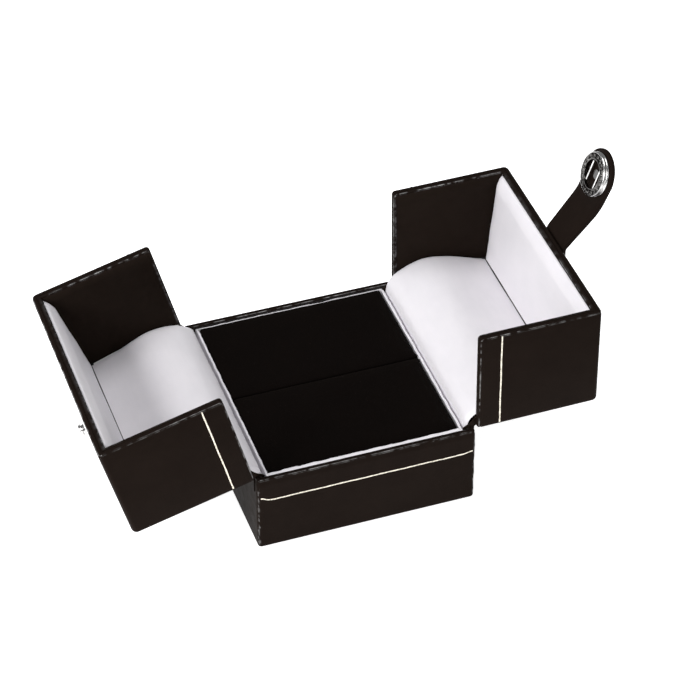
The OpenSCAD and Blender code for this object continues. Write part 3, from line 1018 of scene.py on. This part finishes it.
@dataclass
class Door:
    """One door, drawn from the hinge: X to the seam, Z away from the base's rim."""

    side: Side
    finishes: Finishes
    walls: Walls

    def __post_init__(self) -> None:
        """Finds the hinge and how far the door stands open."""
        joint = next(j for j in frame["record"]["behaviour"]["joints"]
                     if j["name"] == f"{self.side.value}_door_hinge")
        self.open = math.radians(-joint["range_deg"][0])
        self.body = f"{self.side.value}_door"
        turn = Matrix.Rotation(self.side.sign * self.open, 4, "Y")
        mirror = Matrix.Scale(-1, 4, (1, 0, 0)) if self.side is Side.RIGHT else Matrix()
        self.matrix = Matrix.Translation(Vector(joint["pos_m"])) @ turn @ mirror

    def name(self, part: str) -> str:
        """The part's name on this door."""
        return f"{self.side.value}_{part}"

    def at(self, u: float, v: float, y: float = 0.0) -> Vector:
        """A place in the door's frame, as it stands at rest."""
        return self.matrix @ Vector((u, y, v))

    def build(self) -> None:
        """Builds and dresses every piece of the door."""
        self.wrap()
        self.facings()
        self.foil()
        self.top_cushion()
        self.pleats()
        for part, finish in (("door_shell", "black_card"), ("top_card", "black_card"),
                             ("hump_wadding", "wadding"), ("hump_spring", "spring_steel")):
            self.finishes.dress_node(self.name(part), finish)

    def wrap(self) -> Piece:
        """Leatherette over the door: round outer edges and a rim folded round both open sides.

        Returns:
            The wrap.
        """
        rim = Rim(self.walls.rim, self.walls.door_edge_r)
        rim_bead, nose = rim.bead, 0.6 * MM
        half = self.walls.door_d / 2
        width, height = self.walls.door_w - rim_bead, self.walls.door_h
        piece = Bench.box(self.name("door_skin"), (0, -half, rim_bead), (width, half, height))
        edge, seam = 0.01 * MM, 0.95 * MM
        middle = np.array((width / 2, 0, height / 2))

        def edging(p: np.ndarray) -> np.ndarray:
            """1 on the rim's edging and 0 below it."""
            below = np.minimum(width + rim_bead - p[:, 0], p[:, 2])
            return smoothstep((seam + 0.06 * MM - below) / (0.12 * MM))

        def tighten(p: np.ndarray) -> np.ndarray:
            """Lays the rim's lines round both open sides and draws its edging in a little."""
            past = np.maximum(p[:, 0] - width, rim_bead - p[:, 2])
            number = np.clip(np.round(past / rim.gap), 0, None).astype(int)
            inwards, outwards = rim.lines()[number].T
            u, v = p[:, 0] - number * rim.gap, p[:, 2] + number * rim.gap
            at_seam = (u - width) > (rim_bead - v)
            y, across = rim.turn(np.abs(p[:, 1]), np.where(at_seam, v, -u), half,
                                 np.where(at_seam, height, 0), inwards)
            bent = (u > width - nose) & (v < rim_bead + nose)
            out = np.stack([np.where(bent, u - width + nose, at_seam),
                            np.where(bent, v - rim_bead - nose, at_seam - 1.0)], axis=1)
            out *= outwards[:, None] / np.maximum(np.linalg.norm(out, axis=1, keepdims=True), 1e-9)
            u = np.where(bent | at_seam, u, -across) + out[:, 0]
            v = np.where(bent | ~at_seam, v, across) + out[:, 1]
            p = np.stack([u, np.sign(p[:, 1]) * y, v], axis=1)
            push = np.sign(p - middle)
            push[:, 0] *= p[:, 0] < 0.5 * MM
            push[:, 2] *= p[:, 2] > height - 0.5 * MM
            return p - push * edging(p)[:, None] * 0.09 * MM

        def outer(e: bmesh.types.BMEdge) -> bool:
            """True on the five edges away from the two open sides."""
            m = Bench.middle(e)
            return (m.x < edge) + (m.z > height - edge) + (abs(m.y) > half - edge) >= 2 \
                and not (m.x > width - edge or m.z < rim_bead + edge)
        with Bench.editing(piece):
            Bench.pick(Element.EDGE, outer)
            bpy.ops.mesh.bevel(offset=self.walls.door_edge_r, segments=6, affect="EDGES")
            Bench.pick(Element.EDGE, lambda e: Bench.middle(e).x > width - edge
                       and Bench.middle(e).z < rim_bead + edge)
            bpy.ops.mesh.bevel(offset=nose, segments=5, affect="EDGES")
            Bench.slice(0, *(width + rim_bead - seam + step * 0.06 * MM for step in (-1, 0, 1)))
            Bench.slice(2, *(seam - step * 0.06 * MM for step in (-1, 0, 1)))
            Bench.pick(Element.FACE, lambda f: abs(f.normal.y) < 0.01
                       and (f.normal.x > 0.01 or f.normal.z < -0.01))
            rim.stack((1, 0, -1))
        Bench.shape(piece, tighten)
        Bench.modify(piece, "SOLIDIFY", thickness=0.25 * MM, offset=-1)
        Bench.polish(piece, lambda p: rim.crests(
            np.minimum(half - np.abs(p[:, 1]),
                       np.where(p[:, 0] > width, height - p[:, 2], p[:, 0])),
            np.maximum(p[:, 0] - width, rim_bead - p[:, 2]) > 0.02 * MM))
        Bench.settle(piece, self.matrix)
        return place(piece, self.finishes, "leatherette", "leatherette", self.body,
                     self.name("door_wrap"))

    def facings(self) -> None:
        """Leatherette panels inside the front and back walls, under the turned-over edge."""
        inner = self.walls.door_d / 2 - self.walls.wall
        turn_w = 2.9 * MM
        step = 0.14 * MM
        right = self.walls.door_w - 0.45 * MM
        for end, sign in (("front", -1), ("back", 1)):
            faces = sorted((sign * inner, sign * (inner - self.walls.facing + step)))
            piece = Bench.box(self.name(f"{end}_facing_panel"),
                              (self.walls.wall, faces[0], self.walls.wrap),
                              (right, faces[1], self.walls.door_h - self.walls.wall))
            with Bench.editing(piece):
                bpy.ops.mesh.select_all(action="SELECT")
                bpy.ops.mesh.bisect(plane_co=(right - turn_w, 0, 0), plane_no=(1, 0, 0))
                inwards = Vector((0, -sign, 0))
                Bench.pick(Element.FACE, lambda f: f.normal.dot(inwards) > 0.99
                           and f.calc_center_median().x > right - turn_w)
                bpy.ops.mesh.extrude_region_move(
                    TRANSFORM_OT_translate={"value": inwards * step})
                Bench.pick(Element.EDGE, lambda e: abs(Bench.middle(e).y) < inner - 0.3 * MM
                           and len(e.link_faces) == 2
                           and e.link_faces[0].normal.dot(e.link_faces[1].normal) < 0.5)
                bpy.ops.mesh.bevel(offset=0.06 * MM, segments=2, affect="EDGES")
            Bench.settle(piece, self.matrix)
            place(piece, self.finishes, "leatherette_inside", "leatherette_inside", self.body,
                  self.name(f"{end}_facing"))

    def foil(self) -> Piece:
        """Foil lines on the front and back walls, running over the rim.

        Returns:
            Both lines as one piece.
        """
        half = self.walls.door_d / 2
        level = 5.85 * MM
        first, last = 1.2 * MM, self.walls.door_w - 0.12 * MM
        line_w, bead, r = 0.38 * MM, Rim.bead, self.walls.door_edge_r

        def run(p: np.ndarray, face: int) -> np.ndarray:
            """Lays the strip on one wall."""
            x = first + p[:, 0] * (last - first)
            wide = line_w / 2 * (1 + 0.1 * np.sin(x / MM * 1.9 + face))
            z = level + 0.03 * MM * np.sin(x / MM * 0.5) + (p[:, 1] * 2 - 1) * wide
            past = np.clip(r - x, 0, None)
            over = np.clip(x - (self.walls.door_w - bead), 0, bead)
            sink = r - np.sqrt(r * r - past ** 2) + bead - np.sqrt(bead * bead - over ** 2)
            return np.stack([x, face * (half - sink + FOIL_CLEAR), z], axis=1)
        piece = foil_pair(self.name("foil_lines"), 120, run)
        Bench.settle(piece, self.matrix)
        return place(piece, self.finishes, "gold_foil", "gold_foil", self.body,
                     self.name("gold_line"))

    def top_cushion(self) -> Piece:
        """Thin satin cushion inside the top wall, thick in the corner and turned in at the seam.

        Returns:
            The cushion.
        """
        under_card = self.walls.door_h - self.walls.wall - 0.6 * MM
        near, far = self.walls.wall + 0.3 * MM, self.walls.door_w - 0.75 * MM
        half = self.walls.hump_y
        piece = Bench.box(self.name("top_cushion"), (0, 0, 0), (1, 1, 1))
        with Bench.editing(piece):
            bpy.ops.mesh.select_all(action="SELECT")
            bpy.ops.mesh.subdivide(number_cuts=47)
        stations = np.array([0, 8, 16, 24.5, 26.6, 27.3]) * MM
        depths = np.array([4.6, 3.9, 2.95, 2.1, 1.4, 0.35]) * MM

        def wedge(p: np.ndarray) -> np.ndarray:
            """Turns the unit block into the wedge."""
            along = p[:, 0] + 0.12 * np.sin(2 * np.pi * p[:, 0]) / (2 * np.pi)
            u = near + along * (far - near)
            depth = np.interp(u - near, stations, depths)
            y = (p[:, 1] * 2 - 1) * half
            from_end = (half - np.abs(y)) / MM
            roll = 0.7 * MM * np.clip(1 - from_end / 0.8, 0, 1) ** 2
            crown = 0.25 * MM * np.sin(np.pi * p[:, 0]) * np.cos(np.pi * (p[:, 1] - 0.5))
            v = under_card - (depth - roll + crown) * (1 - p[:, 2])
            return np.stack([u, y, v], axis=1)
        Bench.shape(piece, wedge)
        Plumper(cap=0.22 * MM).plump(
            piece, lambda p: smoothstep((under_card - p[:, 2]) / (2 * MM))
            * smoothstep((half - np.abs(p[:, 1])) / (2 * MM)))
        seam = far - 1.7 * MM

        def stitch(p: np.ndarray) -> np.ndarray:
            """Presses the turned edge's line and a few soft ripples into the face."""
            shown = p[:, 2] < under_card - 0.8 * MM
            line = np.exp(-((p[:, 0] - seam) / (0.28 * MM)) ** 2) * 0.16 * MM
            waves = Bench.ripple(p * np.array([1, 0.45, 1]), 5 * MM, 5.0) * 0.07 * MM
            return p + np.outer((line + waves) * shown, (0, 0, 1))
        Bench.shape(piece, stitch)
        Bench.settle(piece, self.matrix, 60)
        place(piece, self.finishes, "satin", "satin", self.body, self.name("top_satin"))
        return piece

    def pleats(self) -> Piece:
        """Gathered pleats of leatherette where the rim turns its two corners.

        Returns:
            The pleats of both corners as one piece.
        """
        half = self.walls.door_d / 2 - self.walls.rim * 0.55
        corner = self.walls.door_h - self.walls.rim * 0.55
        pleat = Bench.box("pleat", (-0.5, -0.5, -0.5), (0.5, 0.5, 0.5))
        with Bench.editing(pleat):
            bpy.ops.mesh.select_all(action="SELECT")
            bpy.ops.mesh.bevel(offset=0.3, segments=3, affect="EDGES")
        folds = []
        for end in (-1, 1):
            for number, (turn, long) in enumerate(((20, 1.1), (45, 1.5), (68, 1.0))):
                thick = (0.22 + 0.05 * number) * MM
                folds.append(Bench.move(
                    Bench.copied(pleat),
                    Matrix.Translation((self.walls.door_w - 0.03 * MM, end * half, corner))
                    @ Matrix.Rotation(math.radians(-end * turn), 4, "X")
                    @ Matrix.Diagonal((0.26 * MM, thick, long * MM, 1))))
        bpy.data.objects.remove(pleat)
        piece = Bench.joined(self.name("corner_pleats"), folds)
        Bench.settle(piece, self.matrix, 60)
        return place(piece, self.finishes, "leatherette", "leatherette", self.body)


@dataclass
class Hinge:
    """What crosses one hinge: the leatherette spine, the satin hump and the gussets."""

    door: Door
    finishes: Finishes
    gutter: tuple[tuple[float, float], ...]
    crown: tuple[tuple[float, float], ...]
    spine_t: float = 0.22 * MM

    def build(self) -> None:
        """Builds and dresses every piece of the hinge."""
        self.spine()
        self.hump()
        self.gussets()

    def _spine_path(self, share: np.ndarray) -> np.ndarray:
        """Middle of the spine as (x, z), up the tray's wall and along the door's."""
        sign = self.door.side.sign
        skin = self.spine_t / 2 + 0.01 * MM
        wall_x = sign * (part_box("base_shell")[1].x + self.door.walls.wrap + skin)
        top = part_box("base_wrap")[1].z
        start = np.array([wall_x, top - 5 * MM])
        bend_from = np.array([wall_x, top - 0.5 * MM])
        bend_to = self.door.at(-skin, 0.9 * MM)
        end = self.door.at(-skin, 5.5 * MM)
        bend_to, end = np.array([bend_to.x, bend_to.z]), np.array([end.x, end.z])
        along = (end - bend_to) / np.linalg.norm(end - bend_to)
        reach = (wall_x - bend_to[0]) / along[0]
        control = bend_to + along * reach
        t = np.clip((share - 0.38) / 0.24, 0, 1)[:, None]
        curve = (1 - t) ** 2 * bend_from + 2 * t * (1 - t) * control + t ** 2 * bend_to
        low = start + (bend_from - start) * (share / 0.38)[:, None]
        high = bend_to + (end - bend_to) * ((share - 0.62) / 0.38)[:, None]
        return np.where(share[:, None] < 0.38, low, np.where(share[:, None] > 0.62, high, curve))

    def spine(self) -> Piece:
        """Thin leatherette strip that joins tray and door outside, drawn bent over the hinge as it
        stands at rest.

        Returns:
            The spine.
        """
        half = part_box(self.door.name("spine_lower"))[1].y
        piece = Bench.grid(self.door.name("spine_strip"), 44, 30)

        def run(p: np.ndarray) -> np.ndarray:
            """Lays the strip over the hinge."""
            path = self._spine_path(p[:, 0])
            return np.stack([path[:, 0], (p[:, 1] * 2 - 1) * half, path[:, 1]], axis=1)
        Bench.shape(piece, run)
        Bench.modify(piece, "SOLIDIFY", thickness=self.spine_t, offset=0)
        Bench.settle(piece)
        ends = self._spine_path(np.array([0.36, 0.66]))
        place(piece, self.finishes, "leatherette", "leatherette", "",
              self.door.name("spine_lower"), self.door.name("spine_upper"))
        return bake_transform(piece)

    def hump(self) -> Piece:
        """Satin stretched from beside the pad, over hinge and wadding, to the top's corner.

        Returns:
            The satin.
        """
        knots = np.array([*self.gutter, *self.crown]) * MM
        rows, columns = 110, 64
        outline = flowing_line(knots, rows)
        half = self.door.walls.hump_y
        steps = np.linalg.norm(np.diff(outline, axis=0), axis=1)
        lengths = np.concatenate([[0], np.cumsum(steps)])
        gutter_end = lengths[int(rows * (len(self.gutter) - 1) / (len(knots) - 1))]
        piece = Bench.grid(self.door.name("hump_cover"), rows, columns)

        def drape(p: np.ndarray) -> np.ndarray:
            """Lays the sheet on its outline."""
            row = np.clip(p[:, 0] * (len(outline) - 1), 0, len(outline) - 1)
            base = np.floor(np.clip(row, 0, len(outline) - 2)).astype(int)
            share = (row - base)[:, None]
            spot = outline[base] * (1 - share) + outline[base + 1] * share
            along = outline[base + 1] - outline[base]
            along /= np.linalg.norm(along, axis=1, keepdims=True)
            normal = np.stack([-along[:, 1], along[:, 0]], axis=1) * self.door.side.sign
            run = np.interp(row, np.arange(len(outline)), lengths)
            narrow = 0.55 * MM * (1 - smoothstep(run / gutter_end))
            y = (p[:, 1] * 2 - 1) * (half - narrow)
            from_end = (half - narrow - np.abs(y)) / MM
            roll = -0.75 * np.clip(1 - from_end / 0.9, 0, 1) ** 2
            seed = 7.0 if self.door.side is Side.LEFT else 9.0
            sample = np.stack([run * 0.55, y * 0.35, run * 0], axis=1)
            soft = Bench.ripple(sample, 3.5 * MM, seed)
            pucker = Bench.ripple(np.stack([run * 0.3, y, run * 0], axis=1), 1.6 * MM, seed + 4)
            near_gutter = np.exp(-((run - gutter_end * 0.8) / (3 * MM)) ** 2)
            lift = (roll + 0.10 * soft + 0.10 * pucker * near_gutter) * MM
            spot = spot + normal * lift[:, None]
            return np.stack([spot[:, 0], y, spot[:, 1]], axis=1)
        Bench.shape(piece, drape)
        turn_towards(piece, Vector((0, 0, 1)))
        Bench.modify(piece, "SOLIDIFY", thickness=0.2 * MM, offset=-1)
        Bench.settle(piece, smooth=60)
        place(piece, self.finishes, "satin", "satin", "",
              self.door.name("hump_satin"), self.door.name("hump_hem"))
        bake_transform(piece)
        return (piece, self.door.name("hump_wadding"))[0]

    def gussets(self) -> Piece:
        """Folded leatherette that closes the hinge's two inside corners.

        Returns:
            Both gussets as one piece.
        """
        sign = self.door.side.sign
        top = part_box("base_wrap")[1].z
        low = np.array([sign * 27.3 * MM, top - 0.3 * MM])
        deep = np.array([sign * 28.2 * MM, top - 4 * MM])
        rise = self.door.at(3.0 * MM, 0.6 * MM)
        root = self.door.at(0.2 * MM, 0.5 * MM)
        rise, root = np.array([rise.x, rise.z]), np.array([root.x, root.z])
        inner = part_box(self.door.name("gussets"))[0].y
        folds = []
        for end in (1, -1):
            def fan(p: np.ndarray, end: int = end) -> np.ndarray:
                """Stretches the sheet between tray and door."""
                s, t = p[:, 0:1], p[:, 1:2]
                sag = 4 * s * (1 - s) * 0.35 * MM
                upper = low + (rise - low) * s - np.array([0.0, 1.0]) * sag
                lower = deep + (root - deep) * s
                spot = lower + (upper - lower) * t
                y = end * (inner + 0.28 * MM) + 0.1 * MM * np.sin(s[:, 0] * 9)
                return np.stack([spot[:, 0], y, spot[:, 1]], axis=1)
            sheet = Bench.shape(Bench.grid("gusset", 16, 8), fan)
            Bench.modify(sheet, "SOLIDIFY", thickness=0.34 * MM, offset=0)
            folds.append(sheet)
        piece = Bench.joined(self.door.name("gusset_folds"), folds)
        with Bench.editing(piece):
            Bench.pick(Element.EDGE, lambda e: len(e.link_faces) == 2
                       and e.link_faces[0].normal.dot(e.link_faces[1].normal) < 0.4)
            bpy.ops.mesh.bevel(offset=0.1 * MM, segments=2, affect="EDGES")
        Bench.settle(piece, smooth=60)
        place(piece, self.finishes, "leatherette_inside", "leatherette_inside", "",
              self.door.name("gussets"))
        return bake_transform(piece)


def flowing_line(knots: np.ndarray, count: int) -> np.ndarray:
    """A smooth line through a few points, evenly divided by knot.

    Args:
        knots: The points, as rows of (x, z).
        count: How many stretches the line is divided into.

    Returns:
        count + 1 points on the line.
    """
    padded = np.vstack([2 * knots[0] - knots[1], knots, 2 * knots[-1] - knots[-2]])
    where = np.linspace(0, len(knots) - 1, count + 1)
    first = np.minimum(where.astype(int), len(knots) - 2)
    t = (where - first)[:, None]
    a, b, c, d = (padded[first + k] for k in range(4))
    return 0.5 * (2 * b + (c - a) * t + (2 * a - 5 * b + 4 * c - d) * t ** 2
                  + (3 * b - a - 3 * c + d) * t ** 3)


@dataclass
class Tab:
    """The snap tab: a leatherette strap on the right door, with the socket in its round end."""

    door: Door
    finishes: Finishes
    thick: float = 1.3 * MM
    root_w: float = 11 * MM
    wide_w: float = 12.4 * MM
    end_r: float = 7 * MM
    anchor_l: float = 14 * MM
    neck_l: float = 14.2 * MM
    end_l: float = 7.6 * MM
    bends: tuple[float, float] = (1.1 * MM, 3.6 * MM)

    def __post_init__(self) -> None:
        """Finds the two bends from the joints."""
        joints = {j["name"]: Vector(j["pos_m"]) for j in frame["record"]["behaviour"]["joints"]}
        self.first = joints["tab_bend"]
        self.second = joints["tab_end_bend"]
        self.along_door = (self.door.matrix.to_3x3() @ Vector((1, 0, 0))).normalized()
        self.along_neck = (self.second - self.first).normalized()
        lift = self.along_door.angle(self.along_neck)
        end_angle = math.radians(19.5)
        turn = Matrix.Rotation(end_angle, 3, self.along_door.cross(self.along_neck))
        self.along_end = turn @ self.along_door
        self.lifts = (0.0, lift, end_angle)
        outwards = self.door.matrix.to_3x3() @ Vector((0, 0, 1))
        self.outwards = outwards.normalized()

    def build(self) -> None:
        """Builds and dresses the strap and the snap."""
        cut = self.neck_l / 2
        self.strap("strap_root", -self.anchor_l, cut, "right_door",
                   ("tab_anchor", "tab_neck"))
        self.strap("strap_end", cut, self.neck_l + self.end_l + self.end_r, "tab_neck",
                   ("tab_end",))
        self.socket()
        for node, finish in (("socket_springs", "nickel"), ("snap_cap", "cap_paint"),
                             ("snap_stud", "nickel"), ("stud_post", "nickel")):
            self.finishes.dress_node(node, finish)

    def _angle(self, s: np.ndarray) -> np.ndarray:
        """Lift of the strap away from the door's top at each length along it."""
        low, high = self.bends
        first = smoothstep((s + low) / (2 * low))
        second = smoothstep((s - self.neck_l + high) / (2 * high))
        return self.lifts[1] * first + (self.lifts[2] - self.lifts[1]) * second

    def _route(self) -> tuple[np.ndarray, np.ndarray]:
        """Middle line of the strap.

        Returns:
            Lengths along the strap, and (along the door, outwards) at each.
        """
        s = np.linspace(-self.anchor_l, self.neck_l + self.end_l + self.end_r, 800)
        angle = self._angle(s)
        step = np.diff(s, prepend=s[0])
        spots = np.cumsum(np.stack([np.cos(angle) * step, np.sin(angle) * step], axis=1), axis=0)
        spots -= spots[0] + np.array([self.anchor_l, 0])
        middle = np.array([np.interp(self.neck_l / 2, s, spots[:, k]) for k in (0, 1)])
        wanted = np.array([math.cos(self.lifts[1]), math.sin(self.lifts[1])]) * self.neck_l / 2
        share = smoothstep((s + self.bends[0]) / (2 * self.bends[0]))[:, None]
        return s, spots + (wanted - middle) * share

    def strap(self, name: str, first: float, last: float, body_a: str,
              nodes: tuple[str, ...]) -> Piece:
        """One length of the strap, from flat to bent.

        Args:
            name: The piece's name.
            first: Where it starts, measured from the first bend.
            last: Where it ends.
            body_a: The body at its start, which picks the bend whose reach is worked out.
            nodes: The nodes that it stands for.

        Returns:
            The strap piece.
        """
        snap_at = self.neck_l + self.end_l
        widest = self.end_r if last > snap_at else self.wide_w / 2
        piece = Bench.box(name, (first, -widest, -self.thick / 2), (last, widest, self.thick / 2))
        with Bench.editing(piece):
            if last > snap_at:
                Bench.pick(Element.EDGE, lambda e: abs(e.verts[0].co.z - e.verts[1].co.z) > MM
                           and Bench.middle(e).x > snap_at)
                bpy.ops.mesh.bevel(offset=self.end_r * 0.998, segments=18, affect="EDGES")
            cuts = int((last - first) / (0.5 * MM))
            Bench.slice(0, *(first + (last - first) * number / cuts for number in range(1, cuts)))
            Bench.slice(1, *(share * widest for share in (-0.66, -0.33, 0, 0.33, 0.66)))
            Bench.pick(Element.EDGE, lambda e: len(e.link_faces) == 2
                       and abs(abs(e.link_faces[0].normal.z) - abs(e.link_faces[1].normal.z)) > 0.5
                       and not self._cut_end(e, first, last, snap_at))
            bpy.ops.mesh.bevel(offset=0.36 * MM, segments=3, affect="EDGES")

        def taper(p: np.ndarray) -> np.ndarray:
            """Narrows the strap towards the door."""
            stations = [-self.anchor_l, 0, self.neck_l, snap_at, snap_at + self.end_r]
            widths = [self.root_w / 2, self.root_w / 2, self.wide_w / 2, self.end_r, self.end_r]
            width = np.interp(p[:, 0], stations, widths) / widest
            hollow = 1 - 0.05 * np.cos(np.pi * np.clip(p[:, 1] / widest, -1, 1))
            return np.stack([p[:, 0], p[:, 1] * width, p[:, 2] * hollow], axis=1)
        Bench.shape(piece, taper)
        lengths, spots = self._route()

        def bend(p: np.ndarray) -> np.ndarray:
            """Bends the flat strap along its route."""
            angle = self._angle(p[:, 0])
            across = np.interp(p[:, 0], lengths, spots[:, 0]) - np.sin(angle) * p[:, 2]
            out = np.interp(p[:, 0], lengths, spots[:, 1]) + np.cos(angle) * p[:, 2]
            return (np.array(self.first) + np.outer(across, self.along_door)
                    + np.outer(out, self.outwards) + np.outer(p[:, 1], (0, 1, 0)))
        Bench.shape(piece, bend)
        Bench.settle(piece)
        place(piece, self.finishes, "leatherette", "leatherette", "", *nodes)
        if body_a == self.door.body:
            reach = self.bends[0]
            start, end = self.first - self.along_door * reach, self.first + self.along_neck * reach
        else:
            reach = self.bends[1]
            start, end = self.second - self.along_neck * reach, self.second + self.along_end * reach
        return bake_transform(piece)

    @staticmethod
    def _cut_end(edge: bmesh.types.BMEdge, first: float, last: float, snap_at: float) -> bool:
        """True on the edges of the flat ends where two lengths of strap meet."""
        x = Bench.middle(edge).x
        straight = abs(edge.verts[0].co.x - edge.verts[1].co.x) < 0.001 * MM
        return straight and (abs(x - first) < 0.01 * MM and first > 0
                             or abs(x - last) < 0.01 * MM and last < snap_at)

    def _snap_matrix(self) -> Matrix:
        """Frame of the snap: Z outwards from the door, X along the strap."""
        turn = Matrix.Rotation(self.lifts[2], 3, self.along_door.cross(self.along_neck))
        z = turn @ self.outwards
        x = self.along_end
        y = z.cross(x)
        matrix = Matrix((x, y, z)).transposed().to_4x4()
        matrix.translation = self.second + x * self.end_l
        return matrix

    def socket(self) -> None:
        """Nickel socket: a waisted drum, and a face with a ring of beads in nickel painted dark, a
        painted dark reflection.
        """
        drum = [(3.9, 0.0), (5.9, 0.0), (6.1, 0.15), (6.12, 0.55), (5.95, 0.74), (5.5, 0.84),
                (5.4, 0.98), (5.55, 1.12), (6.0, 1.2), (6.1, 1.34), (6.0, 1.55), (5.8, 1.62),
                (3.9, 1.3)]
        face = [(3.85, 1.0), (3.95, 1.74), (4.2, 1.8), (4.45, 1.62), (5.4, 1.6), (5.65, 1.72),
                (5.78, 1.6), (5.6, 1.3), (4.2, 1.2)]
        outward = Matrix.Translation((0, 0, -self.thick / 2)) @ Matrix.Rotation(math.pi, 4, "X")
        matrix = self._snap_matrix() @ outward
        case = Bench.turned("snap_socket_drum", [(r * MM, h * MM) for r, h in drum])
        Bench.settle(case, matrix, 50)
        place(case, self.finishes, "nickel", "bright_steel", "tab_end", "snap_socket")
        parts = [Bench.turned("socket_face", [(r * MM, h * MM) for r, h in face])]
        beads, flat = 18, 1.96 * MM
        bpy.ops.object.select_all(action="DESELECT")
        bpy.ops.mesh.primitive_uv_sphere_add(
            segments=14, ring_count=9, radius=0.46 * MM, location=(4.95 * MM, 0, 1.62 * MM),
            scale=(1.1, 0.9, 0.9))
        bead = Bench.start("socket_bead")
        with Bench.editing(bead):
            Bench.pick(Element.VERT, lambda v: v.co.z > flat)
            bpy.ops.transform.resize(value=(1, 1, 0.4), center_override=(0, 0, flat))
        for number in range(beads):
            parts.append(Bench.move(
                Bench.copied(bead), Matrix.Rotation(2 * math.pi * number / beads, 4, "Z")))
        bpy.data.objects.remove(bead)
        ring = Bench.joined("snap_socket_beads", parts)
        Bench.settle(ring, matrix, 50)
        # Face and beads take the nickel painted dark: a painted dark reflection in place of the
        # plating's own bright colour.
        place(ring, self.finishes, "oxidised_nickel", "bright_steel", "tab_end")


@dataclass
class Studio:
    """Pale floor, soft lights and the camera."""

    azimuth: float = -19.22
    elevation: float = 40.11
    distance: float = 0.7755
    aim: Point = (0.00816, 0.0040, 0.02767)
    lens: float = 148.4

    def build(self) -> None:
        """Sets the stage."""
        self._floor()
        self._camera()
        self._world()
        self._light("key_softbox", (-0.68, -0.22, 0.44), 0.36, 5.8)
        self._light("fill_softbox", (0.45, -0.60, 0.40), 0.5, 0.8)
        self._light("top_softbox", (0.02, 0.12, 0.85), 0.5, 3.2)
        bpy.context.scene.view_settings.view_transform = "Standard"

    def _floor(self) -> None:
        """A pale floor: a wide slab with slightly rounded top edges."""
        floor = Bench.box("studio_floor", (-3, -3, -0.02), (3, 3, -0.0001))
        with Bench.editing(floor):
            Bench.pick(Element.EDGE, lambda e: Bench.middle(e).z > -0.001)
            bpy.ops.mesh.bevel(offset=0.005, segments=3, affect="EDGES")
        floor.data.materials.append(PaleFloor().material())

    def _camera(self) -> None:
        """Camera at the viewing angle."""
        a, e = math.radians(self.azimuth), math.radians(self.elevation)
        back = Vector((math.sin(a) * math.cos(e), -math.cos(a) * math.cos(e), math.sin(e)))
        data = bpy.data.cameras.new("camera")
        data.lens = self.lens
        data.sensor_width = 36
        data.clip_start, data.clip_end = 0.01, 20
        camera = bpy.data.objects.new("camera", data)
        bpy.context.collection.objects.link(camera)
        camera.location = Vector(self.aim) + back * self.distance
        camera.rotation_euler = (-back).to_track_quat("-Z", "Y").to_euler()
        bpy.context.scene.camera = camera

    def _world(self) -> None:
        """Even white surroundings."""
        world = bpy.data.worlds.new("surroundings")
        world.use_nodes = True
        background = world.node_tree.nodes["Background"]
        background.inputs["Color"].default_value = (0.98, 0.99, 1, 1)
        background.inputs["Strength"].default_value = 0.23
        bpy.context.scene.world = world

    def _light(self, name: str, spot: Point, size: float, power: float) -> None:
        """Adds one soft square light aimed at the box."""
        data = bpy.data.lights.new(name, "AREA")
        data.size = size
        data.energy = power
        light = bpy.data.objects.new(name, data)
        bpy.context.collection.objects.link(light)
        light.location = spot
        aim = Vector((0, 0, 0.02)) - light.location
        light.rotation_euler = aim.to_track_quat("-Z", "Y").to_euler()


def main() -> None:
    """Builds the box, dresses it and sets the stage."""
    logging.basicConfig(level=logging.INFO, format="%(name)s: %(message)s")
    Studio().build()
    finishes = Finishes()
    walls = Walls()
    Base(finishes, walls).build()
    left, right = Door(Side.LEFT, finishes, walls), Door(Side.RIGHT, finishes, walls)
    for door in (left, right):
        door.build()
    Hinge(left, finishes,
          gutter=((-27.7, 15.2), (-27.6, 19.5), (-27.7, 22.3), (-28.2, 24.2), (-29.5, 25.4),
                  (-31.3, 26.4)),
          crown=((-33.6, 27.1), (-37.2, 27.3), (-41.2, 26.6), (-45.5, 24.6), (-50.0, 22.2),
                 (-53.5, 20.6), (-56.9, 19.3))).build()
    Hinge(right, finishes,
          gutter=((27.7, 15.2), (27.6, 20.0), (27.7, 23.2), (28.4, 26.0), (30.2, 28.0),
                  (32.6, 29.4)),
          crown=((35.0, 30.5), (38.5, 31.4), (42.0, 31.4), (46.0, 30.5), (50.0, 29.2),
                 (54.0, 27.7), (57.2, 26.5))).build()
    Tab(right, finishes).build()


if __name__ == "__main__":
    main()
